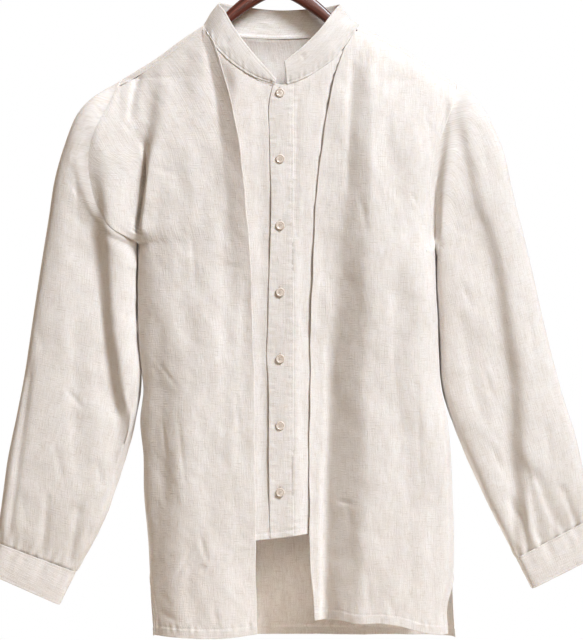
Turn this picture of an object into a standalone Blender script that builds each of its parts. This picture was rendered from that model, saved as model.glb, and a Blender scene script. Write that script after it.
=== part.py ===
"""Linen shirt jacket with a band collar and a two-layer front, on a wooden hanger.

The garment hangs from the hanger's hook. The origin is the inside top of the hook, +Z is up,
and the garment's front faces -Y. Right and left are the wearer's, so the right side is at -X.
Every cloth piece is an open surface worked out from sections and given its wall by Solidify.
"""
import math

import bpy
import numpy as np

# ---------------------------------------------------------------- driving sizes, in metres
CLOTH = 0.0012                  # wall of every cloth piece
SEAM_GAP = 0.0003               # clearance between two pieces that meet
CENTRE_X = 0.003                # centre front and centre back
NECK_TOP = -0.121               # height of the neck points, where collar and shoulder meet
NECK_HALF = 0.095               # half the neckline's width
NECK_DROP_FRONT = 0.078         # from the neck points down to the centre front
NECK_DROP_BACK = 0.014          # from the neck points down to the centre back
NECKLINE_POWER = 1.5            # below 2, the front neckline runs straighter, as a V with soft ends
SHOULDER_SEAM_DROP = 0.008      # the back reaches over the shoulder and ends this far below it
SHOULDER_ROUND = 0.080          # how fast the body fills out below the shoulder line
SIDE_POWER = 2.5                # roundness of the body's sides seen from above
ARMHOLE_DEPTH = 0.042           # from the hanger's plane to the armhole's front
BACK_SHARE = 0.857              # the sleeves' and armholes' depth behind that plane, of that before
INNER_INSET_EDGE = 0.0034       # how far the inner fronts lie under the outer ones, at the seams
INNER_INSET_FULL = 0.0060       # the same, away from the seams
INNER_INSET_FOLDS = 0.0040      # and this much more where the outer fronts sink into folds
UNDERLAP_INSET = 0.0025         # how much deeper the right inner front runs under the button band
BAND_LEFT = -0.0110             # button band's free edge
BAND_RIGHT = 0.0190             # button band's sewn edge
UNDERLAP = 0.0120               # how far the right inner front runs under the button band
BACK_ARMHOLE_DIP = 0.012        # how far the back armholes cut in behind the line to the tip
SLIT_TOP = -0.807               # side slits open below this height
SLIT_PULL = 0.008               # how far the front's edge swings away from the back's at the hem
BUTTON_RADIUS = 0.0055
BUTTON_THICKNESS = 0.0024
BUTTON_TOP = -0.2095            # height of the first button
BUTTON_STEP = 0.0821            # from one button to the next
BUTTON_COUNT = 7
BUTTON_BEVEL = 0.0006
HANGER_HALF_THICK = 0.0065
HOOK_WIRE = 0.0019              # radius of the hook's wire
HOOK_RADIUS = 0.0200            # from the bend's centre to the wire's centre
HOOK_SHANK = 0.010              # plumb stretch above the wood, and the pull of the bend above it
HANGER_ROUND = 0.0025           # rounding of the wood's long edges
FACET_GAP = 0.0017              # at curved seams, where the two pieces' facets differ
BACK_FIRST_ROW = 0.005          # the back's second row of points, below its neckline

# ---------------------------------------------------------------- how finely pieces are drawn
# Columns as shares of a panel's width, rows as distances down it: close together where the
# cloth turns round the side or over the shoulder.
COLUMNS = np.array([0.0, 0.13, 0.26, 0.38, 0.48, 0.60, 0.71, 0.81, 0.89, 0.95, 0.985, 1.0])
NECK_COLUMN = 0.48              # the share that the back's columns move to its neck points
BESIDE_NECK_COLUMN = 0.38       # and the one before it, moved close beside them
BESIDE_NECK_SHARE = 0.92
ROWS = np.array([0.0, 0.006, 0.015, 0.028, 0.045, 0.067, 0.093, 0.123, 0.157, 0.195,
                 0.237, 0.285, 0.340, 0.400, 0.462, 0.525, 0.580, 0.634, 0.695, 0.757])
INNER_ROWS = 18                 # how many of these rows reach the short inner hem
SETTLING_STEPS = 12             # rounds in which a panel's x and z settle to agree
COLLAR_COLUMNS = 29
COLLAR_ROWS = 3
SLEEVE_COLUMNS = 20
SLEEVE_ROWS = 16
ARM_POINTS = 13
ARMHOLE_FADE = 0.45             # by this share of its length a sleeve's rings are plain


def table(names, *rows):
    """A short table: a row for each section, each column an array under its name."""
    return dict(zip(names.split(), np.array(rows, dtype=float).T))


# The body seen from the front and the side, from the hem up to the underarm.
BODY = table("height right left front back",
             (-0.886, -0.155, 0.221, 0.050, 0.050),
             (-0.825, -0.159, 0.218, 0.051, 0.049),
             (-0.765, -0.162, 0.219, 0.052, 0.048),
             (-0.702, -0.1675, 0.217, 0.053, 0.048),
             (-0.659, -0.168, 0.215, 0.053, 0.048),
             (-0.615, -0.172, 0.212, 0.053, 0.047),
             (-0.574, -0.1680, 0.204, 0.053, 0.047),
             (-0.540, -0.1725, 0.2045, 0.053, 0.047),
             (-0.465, -0.1750, 0.204, 0.054, 0.046),
             (-0.390, -0.1740, 0.196, 0.054, 0.046),
             (-0.120, -0.1740, 0.196, 0.054, 0.046))

# The front half of each armhole seam, from the underarm up to the shoulder tip.
ARMHOLE_RIGHT = table("height x",
                      (-0.394, -0.175), (-0.381, -0.200), (-0.355, -0.220), (-0.321, -0.231),
                      (-0.284, -0.233), (-0.256, -0.226), (-0.224, -0.210), (-0.190, -0.196))
ARMHOLE_LEFT = table("height x",
                     (-0.404, 0.197), (-0.365, 0.1925), (-0.3275, 0.191), (-0.301, 0.194),
                     (-0.2775, 0.198), (-0.235, 0.213), (-0.219, 0.219), (-0.195, 0.224))

# The shoulder lines, from the tips in to the neck points.
SHOULDER_RIGHT = table("x height",
                       (-0.196, -0.190), (-0.181, -0.181), (-0.155, -0.165), (-0.1195, -0.139),
                       (-0.092, -0.121))
SHOULDER_LEFT = table("x height",
                      (0.096, -0.121), (0.114, -0.129), (0.146, -0.145), (0.1775, -0.1655),
                      (0.204, -0.184), (0.224, -0.195))

# Hems: heights across the width, from the side seam to the free edge or the centre.
HEM_OUTER_RIGHT = table("x height", (-0.155, -0.880), (-0.055, -0.880), (-0.026, -0.876))
HEM_OUTER_LEFT = table("x height",
                       (0.046, -0.862), (0.075, -0.858), (0.092, -0.864), (0.130, -0.862),
                       (0.150, -0.864), (0.170, -0.871), (0.186, -0.876), (0.221, -0.877))
HEM_INNER = table("x height", (-0.160, -0.765), (-0.026, -0.7610), (0.040, -0.7535), (0.220, -0.755))
HEM_BACK = table("x height", (-0.155, -0.884), (0.0, -0.888), (0.100, -0.888), (0.221, -0.886))

# The free edges of the open outer fronts: far edge, swing at the neck, and its length.
FREE_EDGE_RIGHT = {"far": -0.027, "swing": -0.065, "length": 0.135}
FREE_EDGE_LEFT = {"far": 0.039, "swing": 0.057, "length": 0.120}

# The collar's stations: t is 0 at the right front end and 1 at the left one. Its seam runs
# along the front neckline (behind 0) or the back one (behind 1), and the top edge leans in.
COLLAR = table("t seam_x behind top_x top_y top_z",
               (0.00, -0.0040, 0, -0.0030, -0.0430, -0.1925),
               (0.06, -0.0260, 0, -0.0150, -0.0405, -0.1790),
               (0.14, -0.0490, 0, -0.0330, -0.0350, -0.1580),
               (0.22, -0.0680, 0, -0.0510, -0.0290, -0.1340),
               (0.31, -0.0850, 0, -0.0670, -0.0160, -0.1060),
               (0.38, -0.0895, 1, -0.0740, 0.0020, -0.0935),
               (0.44, -0.0600, 1, -0.0500, 0.0130, -0.0970),
               (0.50, 0.0030, 1, 0.0020, 0.0180, -0.1020),
               (0.56, 0.0660, 1, 0.0540, 0.0130, -0.0990),
               (0.62, 0.0940, 1, 0.0780, 0.0020, -0.0960),
               (0.69, 0.0905, 0, 0.0690, -0.0160, -0.1080),
               (0.78, 0.0740, 0, 0.0540, -0.0290, -0.1290),
               (0.86, 0.0550, 0, 0.0350, -0.0350, -0.1490),
               (0.94, 0.0320, 0, 0.0190, -0.0385, -0.1630),
               (1.00, 0.0120, 0, 0.0090, -0.0410, -0.1710))

# The sleeves' rings from armhole to cuff seam: the outer and inner outline and half the depth.
SLEEVE_RIGHT = table("down out_x out_z in_x in_z depth",
                     (0.00, -0.196, -0.190, -0.1755, -0.3945, 0.042),
                     (0.06, -0.222, -0.209, -0.1785, -0.3990, 0.042),
                     (0.12, -0.243, -0.234, -0.1800, -0.4060, 0.041),
                     (0.19, -0.260, -0.271, -0.1800, -0.4170, 0.040),
                     (0.27, -0.275, -0.315, -0.1795, -0.4330, 0.038),
                     (0.35, -0.2845, -0.365, -0.1790, -0.4540, 0.036),
                     (0.43, -0.2950, -0.425, -0.1790, -0.4800, 0.035),
                     (0.52, -0.3050, -0.490, -0.1775, -0.5150, 0.034),
                     (0.60, -0.3150, -0.556, -0.1745, -0.5640, 0.033),
                     (0.68, -0.3250, -0.608, -0.1780, -0.6060, 0.032),
                     (0.76, -0.3360, -0.661, -0.1890, -0.6600, 0.031),
                     (0.84, -0.3420, -0.704, -0.2040, -0.7070, 0.029),
                     (0.92, -0.3470, -0.739, -0.2250, -0.7540, 0.025),
                     (1.00, -0.3510, -0.767, -0.2530, -0.8035, 0.018))
SLEEVE_LEFT = table("down out_x out_z in_x in_z depth",
                    (0.00, 0.224, -0.195, 0.1975, -0.4045, 0.042),
                    (0.06, 0.245, -0.212, 0.2010, -0.4110, 0.042),
                    (0.12, 0.261, -0.236, 0.2040, -0.4180, 0.041),
                    (0.19, 0.279, -0.275, 0.2065, -0.4270, 0.040),
                    (0.27, 0.290, -0.320, 0.2080, -0.4400, 0.038),
                    (0.35, 0.2985, -0.356, 0.2090, -0.4580, 0.036),
                    (0.43, 0.3100, -0.401, 0.2095, -0.4830, 0.035),
                    (0.52, 0.3275, -0.479, 0.2095, -0.5300, 0.034),
                    (0.60, 0.3400, -0.530, 0.2100, -0.5720, 0.033),
                    (0.68, 0.3550, -0.585, 0.2180, -0.6180, 0.032),
                    (0.76, 0.3700, -0.632, 0.2370, -0.6620, 0.031),
                    (0.84, 0.3810, -0.682, 0.2600, -0.7120, 0.029),
                    (0.92, 0.3880, -0.716, 0.2780, -0.7470, 0.025),
                    (1.00, 0.3920, -0.736, 0.2980, -0.7860, 0.018))

# The cuffs' far ends: outer and inner corner and half the depth.
CUFF_RIGHT = table("down out_x out_z in_x in_z depth",
                   (0.0, -0.3510, -0.7670, -0.2530, -0.8035, 0.0183),
                   (0.5, -0.3595, -0.7850, -0.2625, -0.8240, 0.0190),
                   (1.0, -0.3670, -0.8020, -0.2720, -0.8440, 0.0185))
CUFF_LEFT = table("down out_x out_z in_x in_z depth",
                  (0.0, 0.3920, -0.7360, 0.2980, -0.7860, 0.0183),
                  (0.5, 0.4010, -0.7560, 0.3070, -0.8050, 0.0190),
                  (1.0, 0.4100, -0.7770, 0.3165, -0.8240, 0.0185))

# The largest folds: x at the top, middle and bottom of each, its width, and how far it
# stands out (positive) or sinks in (negative). Heights are those of its two ends.
FOLDS_OUTER_RIGHT = table("top bottom x_top x_mid x_end width lift",
                          (-0.185, -0.420, -0.142, -0.166, -0.180, 0.014, -0.0060),
                          (-0.150, -0.480, -0.110, -0.112, -0.120, 0.030, 0.0040),
                          (-0.450, -0.886, -0.120, -0.105, -0.090, 0.022, -0.0030))
FOLDS_OUTER_LEFT = table("top bottom x_top x_mid x_end width lift",
                         (-0.160, -0.886, 0.103, 0.092, 0.080, 0.017, -0.0055),
                         (-0.200, -0.345, 0.188, 0.181, 0.172, 0.011, -0.0045),
                         (-0.400, -0.886, 0.140, 0.146, 0.150, 0.030, 0.0035))
FOLDS_BACK = table("top bottom x_top x_mid x_end width lift",
                   (-0.240, -0.886, -0.100, -0.092, -0.080, 0.022, 0.0050),
                   (-0.300, -0.886, -0.020, -0.014, -0.030, 0.024, -0.0045),
                   (-0.220, -0.886, 0.080, 0.092, 0.110, 0.026, 0.0050))
# On the sleeves a fold's place is an angle round the ring: 0 outer, 90 front, 180 inner.
FOLDS_SLEEVE_RIGHT = table("top bottom a_top a_mid a_end width lift",
                           (0.10, 0.66, 84.0, 106.0, 146.0, 15.0, -0.0060),
                           (0.56, 1.02, 34.0, 30.0, 24.0, 13.0, -0.0035),
                           (0.12, 1.00, 250.0, 262.0, 270.0, 22.0, -0.0050))
FOLDS_SLEEVE_LEFT = table("top bottom a_top a_mid a_end width lift",
                          (0.06, 0.98, 92.0, 71.0, 88.0, 15.0, -0.0060),
                          (0.62, 1.02, 118.0, 112.0, 104.0, 13.0, -0.0040),
                          (0.12, 1.00, 288.0, 276.0, 270.0, 22.0, -0.0050))

# The hanger's arm from its middle to its tip: distance out, height of its top and bottom.
ARM = table("out top bottom",
            (0.000, -0.0600, -0.0840), (0.018, -0.0690, -0.0915), (0.051, -0.0930, -0.1130),
            (0.070, -0.1110, -0.1280), (0.090, -0.1305, -0.1455), (0.110, -0.1430, -0.1575),
            (0.130, -0.1560, -0.1700), (0.155, -0.1730, -0.1860), (0.178, -0.1875, -0.1990),
            (0.190, -0.1950, -0.2045))

COLOURS = {                     # linear RGB, roughness, metallic
    "linen": ((0.79, 0.73, 0.66), 0.90, 0.0),
    "shell": ((0.80, 0.68, 0.60), 0.35, 0.0),
    "stained wood": ((0.09, 0.030, 0.018), 0.38, 0.0),
    "plated steel": ((0.62, 0.62, 0.63), 0.25, 1.0),
}


# ---------------------------------------------------------------- curves through the tables
def along(rows, key, name, at):
    """Column 'name' where column 'key' is 'at': a cubic through the rows, level past the ends."""
    keys, values = rows[key], rows[name]
    at = np.clip(np.asarray(at, dtype=float), keys[0], keys[-1])
    slopes = np.gradient(values, keys)
    left = np.clip(np.searchsorted(keys, at, side="right") - 1, 0, len(keys) - 2)
    span = keys[left + 1] - keys[left]
    t = (at - keys[left]) / span
    return ((2 * t ** 3 - 3 * t ** 2 + 1) * values[left]
            + (t ** 3 - 2 * t ** 2 + t) * span * slopes[left]
            + (3 * t ** 2 - 2 * t ** 3) * values[left + 1]
            + (t ** 3 - t ** 2) * span * slopes[left + 1])


def ease(low, high, at):
    """0 below low, 1 above high, and a smooth step between them."""
    t = np.clip((at - low) / (high - low), 0.0, 1.0)
    return t * t * (3.0 - 2.0 * t)


def fold_lift(folds, place, down, names=("x_top", "x_mid", "x_end")):
    """Height of all the folds of a table: a bell across each, fading in and out along it."""
    total = np.zeros(np.broadcast(place, down).shape)
    for i in range(len(folds["lift"])):
        top, bottom = folds["top"][i], folds["bottom"][i]
        first, middle, last = (folds[name][i] for name in names)
        t = np.clip((down - top) / (bottom - top), 0.0, 1.0)
        path = first + t * (4 * middle - 3 * first - last) + t * t * (2 * first - 4 * middle + 2 * last)
        bell = np.exp(-((place - path) / folds["width"][i]) ** 2)
        total = total + folds["lift"][i] * bell * ease(0.0, 0.15, t) * ease(1.25, 0.8, t)
    return total


# ---------------------------------------------------------------- the body's form
def side_data(side):
    """The tables of one side of the body: -1 is the wearer's right, +1 the left."""
    if side < 0:
        return BODY["right"], ARMHOLE_RIGHT, SHOULDER_RIGHT
    return BODY["left"], ARMHOLE_LEFT, SHOULDER_LEFT


def side_x(side, z):
    """Where the front ends at height z: the side seam, then the armhole, up to the tip."""
    column, armhole, _ = side_data(side)
    seam = along({"height": BODY["height"], "x": column}, "height", "x", z)
    arm = along(armhole, "height", "x", z)
    return np.where(z < armhole["height"][0], seam, arm)


def back_side_x(side, z):
    """The same for the back, whose armhole runs almost straight from underarm to tip."""
    _, armhole, _ = side_data(side)
    low, tip = armhole["height"][0], armhole["height"][-1]
    t = np.clip((z - low) / (tip - low), 0.0, 1.0)
    chord = armhole["x"][0] + (armhole["x"][-1] - armhole["x"][0]) * t
    return np.where(z < low, side_x(side, z), chord - side * BACK_ARMHOLE_DIP * np.sin(math.pi * t))


def armhole_reach(side, z):
    """The armhole's depth at height z: half an ellipse between underarm and tip."""
    _, armhole, _ = side_data(side)
    low, tip = armhole["height"][0], armhole["height"][-1]
    t = (z - (low + tip) / 2) / ((tip - low) / 2)
    return ARMHOLE_DEPTH * np.sqrt(np.clip(1.0 - t * t, 0.0, 1.0))


def shoulder_z(side, x):
    """Height of the shoulder line above x, level with the neck point inside the neckline."""
    return along(side_data(side)[2], "x", "height", x)


def depth(side, x, z, inset=0.0, behind=False):
    """Distance of the body's surface from the hanger's plane, in front of it or behind it.

    It grows from nothing on the shoulder line to the body's full depth below it, and closes
    round the side, where it meets the armhole's half ellipse or the side seam.
    """
    full = along(BODY, "height", "back" if behind else "front", z) - inset
    edge = (back_side_x if behind else side_x)(side, z) - side * inset
    across = np.clip((x - CENTRE_X) / (edge - CENTRE_X), 0.0, 1.0)
    below = np.maximum(shoulder_z(side, x) - inset - z, 0.0)
    filled = full * np.sqrt(1.0 - np.exp(-below / SHOULDER_ROUND))
    closing = (1.0 - across ** SIDE_POWER) ** (1.0 / SIDE_POWER)
    reach = armhole_reach(side, z) * (BACK_SHARE if behind else 1.0) - inset
    reach = np.clip(reach, 0.0, filled)
    return reach + (filled - reach) * closing


def neckline_z(x):
    """The front neckline: from the neck points down to the centre front."""
    t = np.clip(np.abs(x - CENTRE_X) / NECK_HALF, 0.0, 1.0)
    return NECK_TOP - NECK_DROP_FRONT * (1.0 - t ** NECKLINE_POWER) ** (1.0 / NECKLINE_POWER)


def back_neckline_z(x):
    """The back neckline, a shallow half ellipse."""
    t = np.clip(np.abs(x - CENTRE_X) / NECK_HALF, 0.0, 1.0)
    return NECK_TOP - NECK_DROP_BACK * np.sqrt(1.0 - t ** 2)


def front_top_z(side, x):
    """Top of the fronts: the neckline, then the shoulder seam just in front of the crest."""
    return np.minimum(neckline_z(x), shoulder_z(side, x) - SHOULDER_SEAM_DROP)


def inner_inset(side, x, z):
    """How far the inner fronts lie under the outer ones: close together at every seam."""
    across = (x - CENTRE_X) / (side_x(side, z) - CENTRE_X)
    away = ease(1.0, 0.85, across) * ease(0.0, 0.035, front_top_z(side, x) - z)
    full = INNER_INSET_FULL + INNER_INSET_FOLDS * ease(0.25, 0.40, across)
    return INNER_INSET_EDGE + (full - INNER_INSET_EDGE) * away


def free_edge_x(edge, z):
    """An outer front's free edge: from the neck point it swings in to a nearly plumb line."""
    return edge["far"] + edge["swing"] * np.exp(-(NECK_TOP - z) / edge["length"])


# ---------------------------------------------------------------- making objects
def new_material(name):
    """A Principled material with one of the named finishes."""
    colour, roughness, metallic = COLOURS[name]
    material = bpy.data.materials.new(name)
    material.use_nodes = True
    shader = material.node_tree.nodes["Principled BSDF"]
    shader.inputs["Base Color"].default_value = (*colour, 1.0)
    shader.inputs["Roughness"].default_value = roughness
    shader.inputs["Metallic"].default_value = metallic
    return material


def put_in_collection(collection, obj):
    """Move an object from wherever it was made into the part's own collection."""
    for other in obj.users_collection:
        other.objects.unlink(obj)
    collection.objects.link(obj)


def grid_object(collection, name, points, material, ring=False, flip=False, wall=CLOTH):
    """A cloth piece: a grid of points, rows by columns, skinned and given its wall.

    The points are the piece's outer face and the wall grows inwards. A ring joins each
    row's last point to its first. Flip turns the faces so that they point outwards.
    """
    rows, columns = points.shape[:2]
    index = np.arange(rows * columns).reshape(rows, columns)
    if ring:
        index = np.hstack([index, index[:, :1]])
    corners = [index[:-1, :-1], index[1:, :-1], index[1:, 1:], index[:-1, 1:]]
    quads = np.stack([c.ravel() for c in (corners[::-1] if flip else corners)], axis=1)
    mesh = bpy.data.meshes.new(name)
    mesh.from_pydata(points.reshape(-1, 3).tolist(), [], quads.tolist())
    mesh.update()
    mesh.shade_smooth()
    mesh.materials.append(material)
    obj = bpy.data.objects.new(name, mesh)
    collection.objects.link(obj)
    shell = obj.modifiers.new("cloth wall", "SOLIDIFY")
    shell.thickness = wall
    shell.offset = -1.0
    return obj


# ---------------------------------------------------------------- the panels
def fade(across):
    """Folds die out towards the armhole and side seam, so that the seams stay together."""
    return ease(1.0, 0.80, across)


def panel_points(side, start_x, hem, length, folds=None, under=None):
    """The points of a front panel, from its inner edge to the armhole and side seam.

    Its columns start on the top edge at the same share of the width as those of the other
    panels, and its rows at the same distances below it, so that layers do not cut each other.
    start_x gives the inner edge at a height, under the inset below the outermost layer.
    """
    columns = COLUMNS[None, :]
    rows = (ROWS[ROWS <= length] / length)[:, None]
    across = (1.0 - (1.0 - columns) * np.ones_like(rows))
    x = CENTRE_X + side * 0.1 * across
    z = NECK_TOP - rows * length * np.ones_like(across)
    for _ in range(SETTLING_STEPS):
        inset = np.zeros_like(x) if under is None else under(x, z)
        top = front_top_z(side, x[:1]) - FACET_GAP - inset[:1]
        z = top + (along(hem, "x", "height", x[-1:]) - top) * rows
        slit = ease(SLIT_TOP, z[-1:, -1:], z)
        start = start_x(z)
        end = side_x(side, z) - side * (SEAM_GAP + inset + SLIT_PULL * slit)
        x = start + (end - start) * across
    y = -depth(side, x, z, inset) - SEAM_GAP
    if folds is not None:
        y = y - fold_lift(folds, x, z) * fade(across)
    return np.stack([x, y, z], axis=-1)


def outer_front(collection, side, material):
    """One long open front, from the free edge to the side."""
    right = side < 0
    edge = FREE_EDGE_RIGHT if right else FREE_EDGE_LEFT
    points = panel_points(side, lambda z: free_edge_x(edge, z),
                          HEM_OUTER_RIGHT if right else HEM_OUTER_LEFT, ROWS[-1],
                          folds=FOLDS_OUTER_RIGHT if right else FOLDS_OUTER_LEFT)
    name = "front_outer_right" if right else "front_outer_left"
    return grid_object(collection, name, points, material, flip=right)


def inner_front(collection, side, material):
    """One short front with the neckline, lying under the outer front."""
    right = side < 0
    edge = BAND_LEFT + UNDERLAP if right else BAND_RIGHT + SEAM_GAP

    def under(x, z):
        deeper = UNDERLAP_INSET * ease(-0.035, -0.015, x) if right else 0.0
        return inner_inset(side, x, z) + deeper

    points = panel_points(side, lambda z: np.full_like(z, edge), HEM_INNER, ROWS[INNER_ROWS - 1],
                          under=under)
    name = "front_inner_right" if right else "front_inner_left"
    return grid_object(collection, name, points, material, flip=right)


def button_band(collection, material):
    """The folded strip with the buttonholes, in the plane of the left inner front."""
    x = np.linspace(BAND_LEFT, BAND_RIGHT, 3)[None, :]
    rows = (ROWS[:INNER_ROWS] / ROWS[INNER_ROWS - 1])[:, None]
    top = front_top_z(1, x) - SEAM_GAP - INNER_INSET_EDGE
    z = top + (along(HEM_INNER, "x", "height", x) - top) * rows
    x = x * np.ones_like(z)
    y = -depth(1, x, z, inner_inset(1, x, z)) - SEAM_GAP
    return grid_object(collection, "button_band", np.stack([x, y, z], axis=-1), material)


def back_panel(collection, material):
    """The back: over both shoulders to the seams in front of them, and down to its hem."""
    halves = []
    for side in (-1, 1):
        tip = side_data(side)[1]["x"][-1]
        neck_share = NECK_HALF / abs(tip - CENTRE_X)
        columns = np.interp(COLUMNS, (0.0, BESIDE_NECK_COLUMN, NECK_COLUMN, 1.0),
                            (0.0, BESIDE_NECK_SHARE * neck_share, neck_share, 1.0))[None, :]
        rows = (ROWS / ROWS[-1])[:, None]
        x = CENTRE_X + side * 0.1 * columns * np.ones_like(rows)
        z = NECK_TOP - rows * ROWS[-1] * np.ones_like(x)
        for _ in range(SETTLING_STEPS):
            inside = np.clip(np.abs(x[:1] - CENTRE_X) / NECK_HALF, 0.0, 1.0)
            neck = back_neckline_z(x[:1]) - BACK_FIRST_ROW * (1.0 - inside ** 4)
            crest = np.where(inside < 0.999, neck, shoulder_z(side, x[:1]))
            z = crest + (along(HEM_BACK, "x", "height", x[-1:]) - crest) * rows
            end = back_side_x(side, z) - side * SEAM_GAP
            x = CENTRE_X + (end - CENTRE_X) * columns
        y = depth(side, x, z, behind=True) + SEAM_GAP
        y = y + fold_lift(FOLDS_BACK, x, z) * fade(columns)
        over = inside > 0.999
        edge_z = np.where(over, crest - SHOULDER_SEAM_DROP, back_neckline_z(x[:1]))
        edge_end = side_x(side, edge_z[:, -1:]) - side * SEAM_GAP
        edge_x = CENTRE_X + (edge_end - CENTRE_X) * columns
        edge_y = np.where(over, -depth(side, edge_x, edge_z),
                          depth(side, edge_x, edge_z, behind=True) + SEAM_GAP)
        first = np.stack([edge_x, edge_y, edge_z], axis=-1)
        halves.append(np.concatenate([first, np.stack([x, y, z], axis=-1)], axis=0))
    points = np.concatenate([halves[0][:, :0:-1], halves[1]], axis=1)
    return grid_object(collection, "back", points, material, flip=True)


# ---------------------------------------------------------------- collar, sleeves and cuffs
def collar(collection, material):
    """The band collar: one strip round the neckline, open at the centre front."""
    seam = []
    for x, behind in zip(COLLAR["seam_x"], COLLAR["behind"]):
        side = -1 if x < CENTRE_X else 1
        z = back_neckline_z(x) if behind else neckline_z(x)
        y = depth(side, x, z, 0.0 if behind else INNER_INSET_EDGE, behind=bool(behind))
        seam.append((x, y if behind else -y - SEAM_GAP, z + FACET_GAP * (1 + behind)))
    rows = dict(COLLAR, **dict(zip(("low_x", "low_y", "low_z"), np.array(seam).T)))
    t = np.linspace(0.0, 1.0, COLLAR_COLUMNS)
    low = np.stack([along(rows, "t", "low_" + axis, t) for axis in "xyz"], axis=-1)
    high = np.stack([along(rows, "t", "top_" + axis, t) for axis in "xyz"], axis=-1)
    share = np.linspace(0.0, 1.0, COLLAR_ROWS)[:, None, None]
    return grid_object(collection, "collar", high + (low - high) * share, material, flip=True)


def ring_points(rings, down, angle):
    """Rings of a sleeve or cuff: each spans its outer and inner outline, and bulges to its depth.

    The angle is 0 at the outer outline, a quarter turn at the front, a half turn inside.
    """
    value = {name: along(rings, "down", name, down) for name in rings}
    across = (1.0 + np.cos(angle)) / 2.0
    x = value["in_x"] + (value["out_x"] - value["in_x"]) * across
    z = value["in_z"] + (value["out_z"] - value["in_z"]) * across
    share = np.where(np.sin(angle) < 0.0, BACK_SHARE, 1.0)
    return np.stack(np.broadcast_arrays(x, -value["depth"] * share * np.sin(angle), z), axis=-1)


def sleeve(collection, side, material):
    """A sleeve: its first ring is the armhole seam, and it straightens to plain rings below."""
    right = side < 0
    rings = SLEEVE_RIGHT if right else SLEEVE_LEFT
    folds = FOLDS_SLEEVE_RIGHT if right else FOLDS_SLEEVE_LEFT
    down = (np.linspace(0.0, 1.0, SLEEVE_ROWS) ** 1.15)[:, None]
    angle = np.linspace(0.0, 2.0 * math.pi, SLEEVE_COLUMNS, endpoint=False)[None, :]
    points = ring_points(rings, down, angle)
    armhole = points[0, :, 2]
    seam_x = np.where(np.sin(angle[0]) > 0.0, side_x(side, armhole), back_side_x(side, armhole))
    shift = seam_x - points[0, :, 0]
    points[:, :, 0] += shift[None, :] * (1.0 - ease(0.0, ARMHOLE_FADE, down)) + side * FACET_GAP
    lift = fold_lift(folds, np.degrees(angle), down, ("a_top", "a_mid", "a_end"))
    lift = lift * ease(0.0, 0.08, down)
    points[:, :, 1] -= lift * np.sin(angle)
    points[:, :, 0] += lift * np.cos(angle) * side
    name = "sleeve_right" if right else "sleeve_left"
    return grid_object(collection, name, points, material, ring=True, flip=not right)


def cuff(collection, side, material):
    """A cuff, just past the end of its sleeve."""
    right = side < 0
    rings = CUFF_RIGHT if right else CUFF_LEFT
    down = np.linspace(0.0, 1.0, 3)[:, None]
    angle = np.linspace(0.0, 2.0 * math.pi, SLEEVE_COLUMNS, endpoint=False)[None, :]
    points = ring_points(rings, down, angle)
    run = points[-1].mean(axis=0) - points[0].mean(axis=0)
    points += run / np.linalg.norm(run) * 3 * SEAM_GAP
    name = "cuff_right" if right else "cuff_left"
    return grid_object(collection, name, points, material, ring=True, flip=not right)


# ---------------------------------------------------------------- buttons and hanger
def buttons(collection, material):
    """Seven round buttons down the button band, sharing one mesh."""
    bpy.ops.mesh.primitive_cylinder_add(vertices=16, radius=BUTTON_RADIUS, depth=BUTTON_THICKNESS)
    first = bpy.context.object
    mesh = first.data
    mesh.materials.append(material)
    bpy.data.objects.remove(first)
    for i in range(BUTTON_COUNT):
        z = BUTTON_TOP - i * BUTTON_STEP
        lowest = min(-depth(1, CENTRE_X, z + dz, inner_inset(1, CENTRE_X, z + dz))
                     for dz in (-BUTTON_RADIUS, 0.0, BUTTON_RADIUS))
        obj = bpy.data.objects.new("button_%d" % (i + 1), mesh)
        obj.location = (CENTRE_X, lowest - BUTTON_THICKNESS / 2 - 2 * SEAM_GAP, z)
        obj.rotation_euler = (math.pi / 2, 0.0, 0.0)
        collection.objects.link(obj)
        edge = obj.modifiers.new("rounded rim", "BEVEL")
        edge.width = BUTTON_BEVEL
        edge.segments = 1
        edge.limit_method = "ANGLE"


def hanger_wood(collection, material):
    """The wooden arms: one flat outline, cut from the table of one arm and its mirror."""
    out = np.linspace(0.0, ARM["out"][-1], ARM_POINTS)
    top = along(ARM, "out", "top", out)
    bottom = along(ARM, "out", "bottom", out)
    upper = list(zip(out, top))
    lower = list(zip(out, bottom))
    outline = [(-x, z) for x, z in upper[:0:-1]] + upper
    outline += lower[::-1] + [(-x, z) for x, z in lower[1:]]
    curve = bpy.data.curves.new("hanger_wood", "CURVE")
    curve.dimensions = "2D"
    curve.fill_mode = "BOTH"
    curve.extrude = HANGER_HALF_THICK - HANGER_ROUND
    curve.bevel_depth = HANGER_ROUND
    curve.bevel_resolution = 1
    curve.offset = -HANGER_ROUND
    spline = curve.splines.new("POLY")
    spline.points.add(len(outline) - 1)
    for point, (x, z) in zip(spline.points, outline):
        point.co = (x, z, 0.0, 1.0)
    spline.use_cyclic_u = True
    curve.materials.append(material)
    obj = bpy.data.objects.new("hanger_wood", curve)
    obj.rotation_euler = (math.pi / 2, 0.0, 0.0)
    collection.objects.link(obj)
    weld = obj.modifiers.new("join the caps", "WELD")
    weld.merge_threshold = 0.00002


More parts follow.
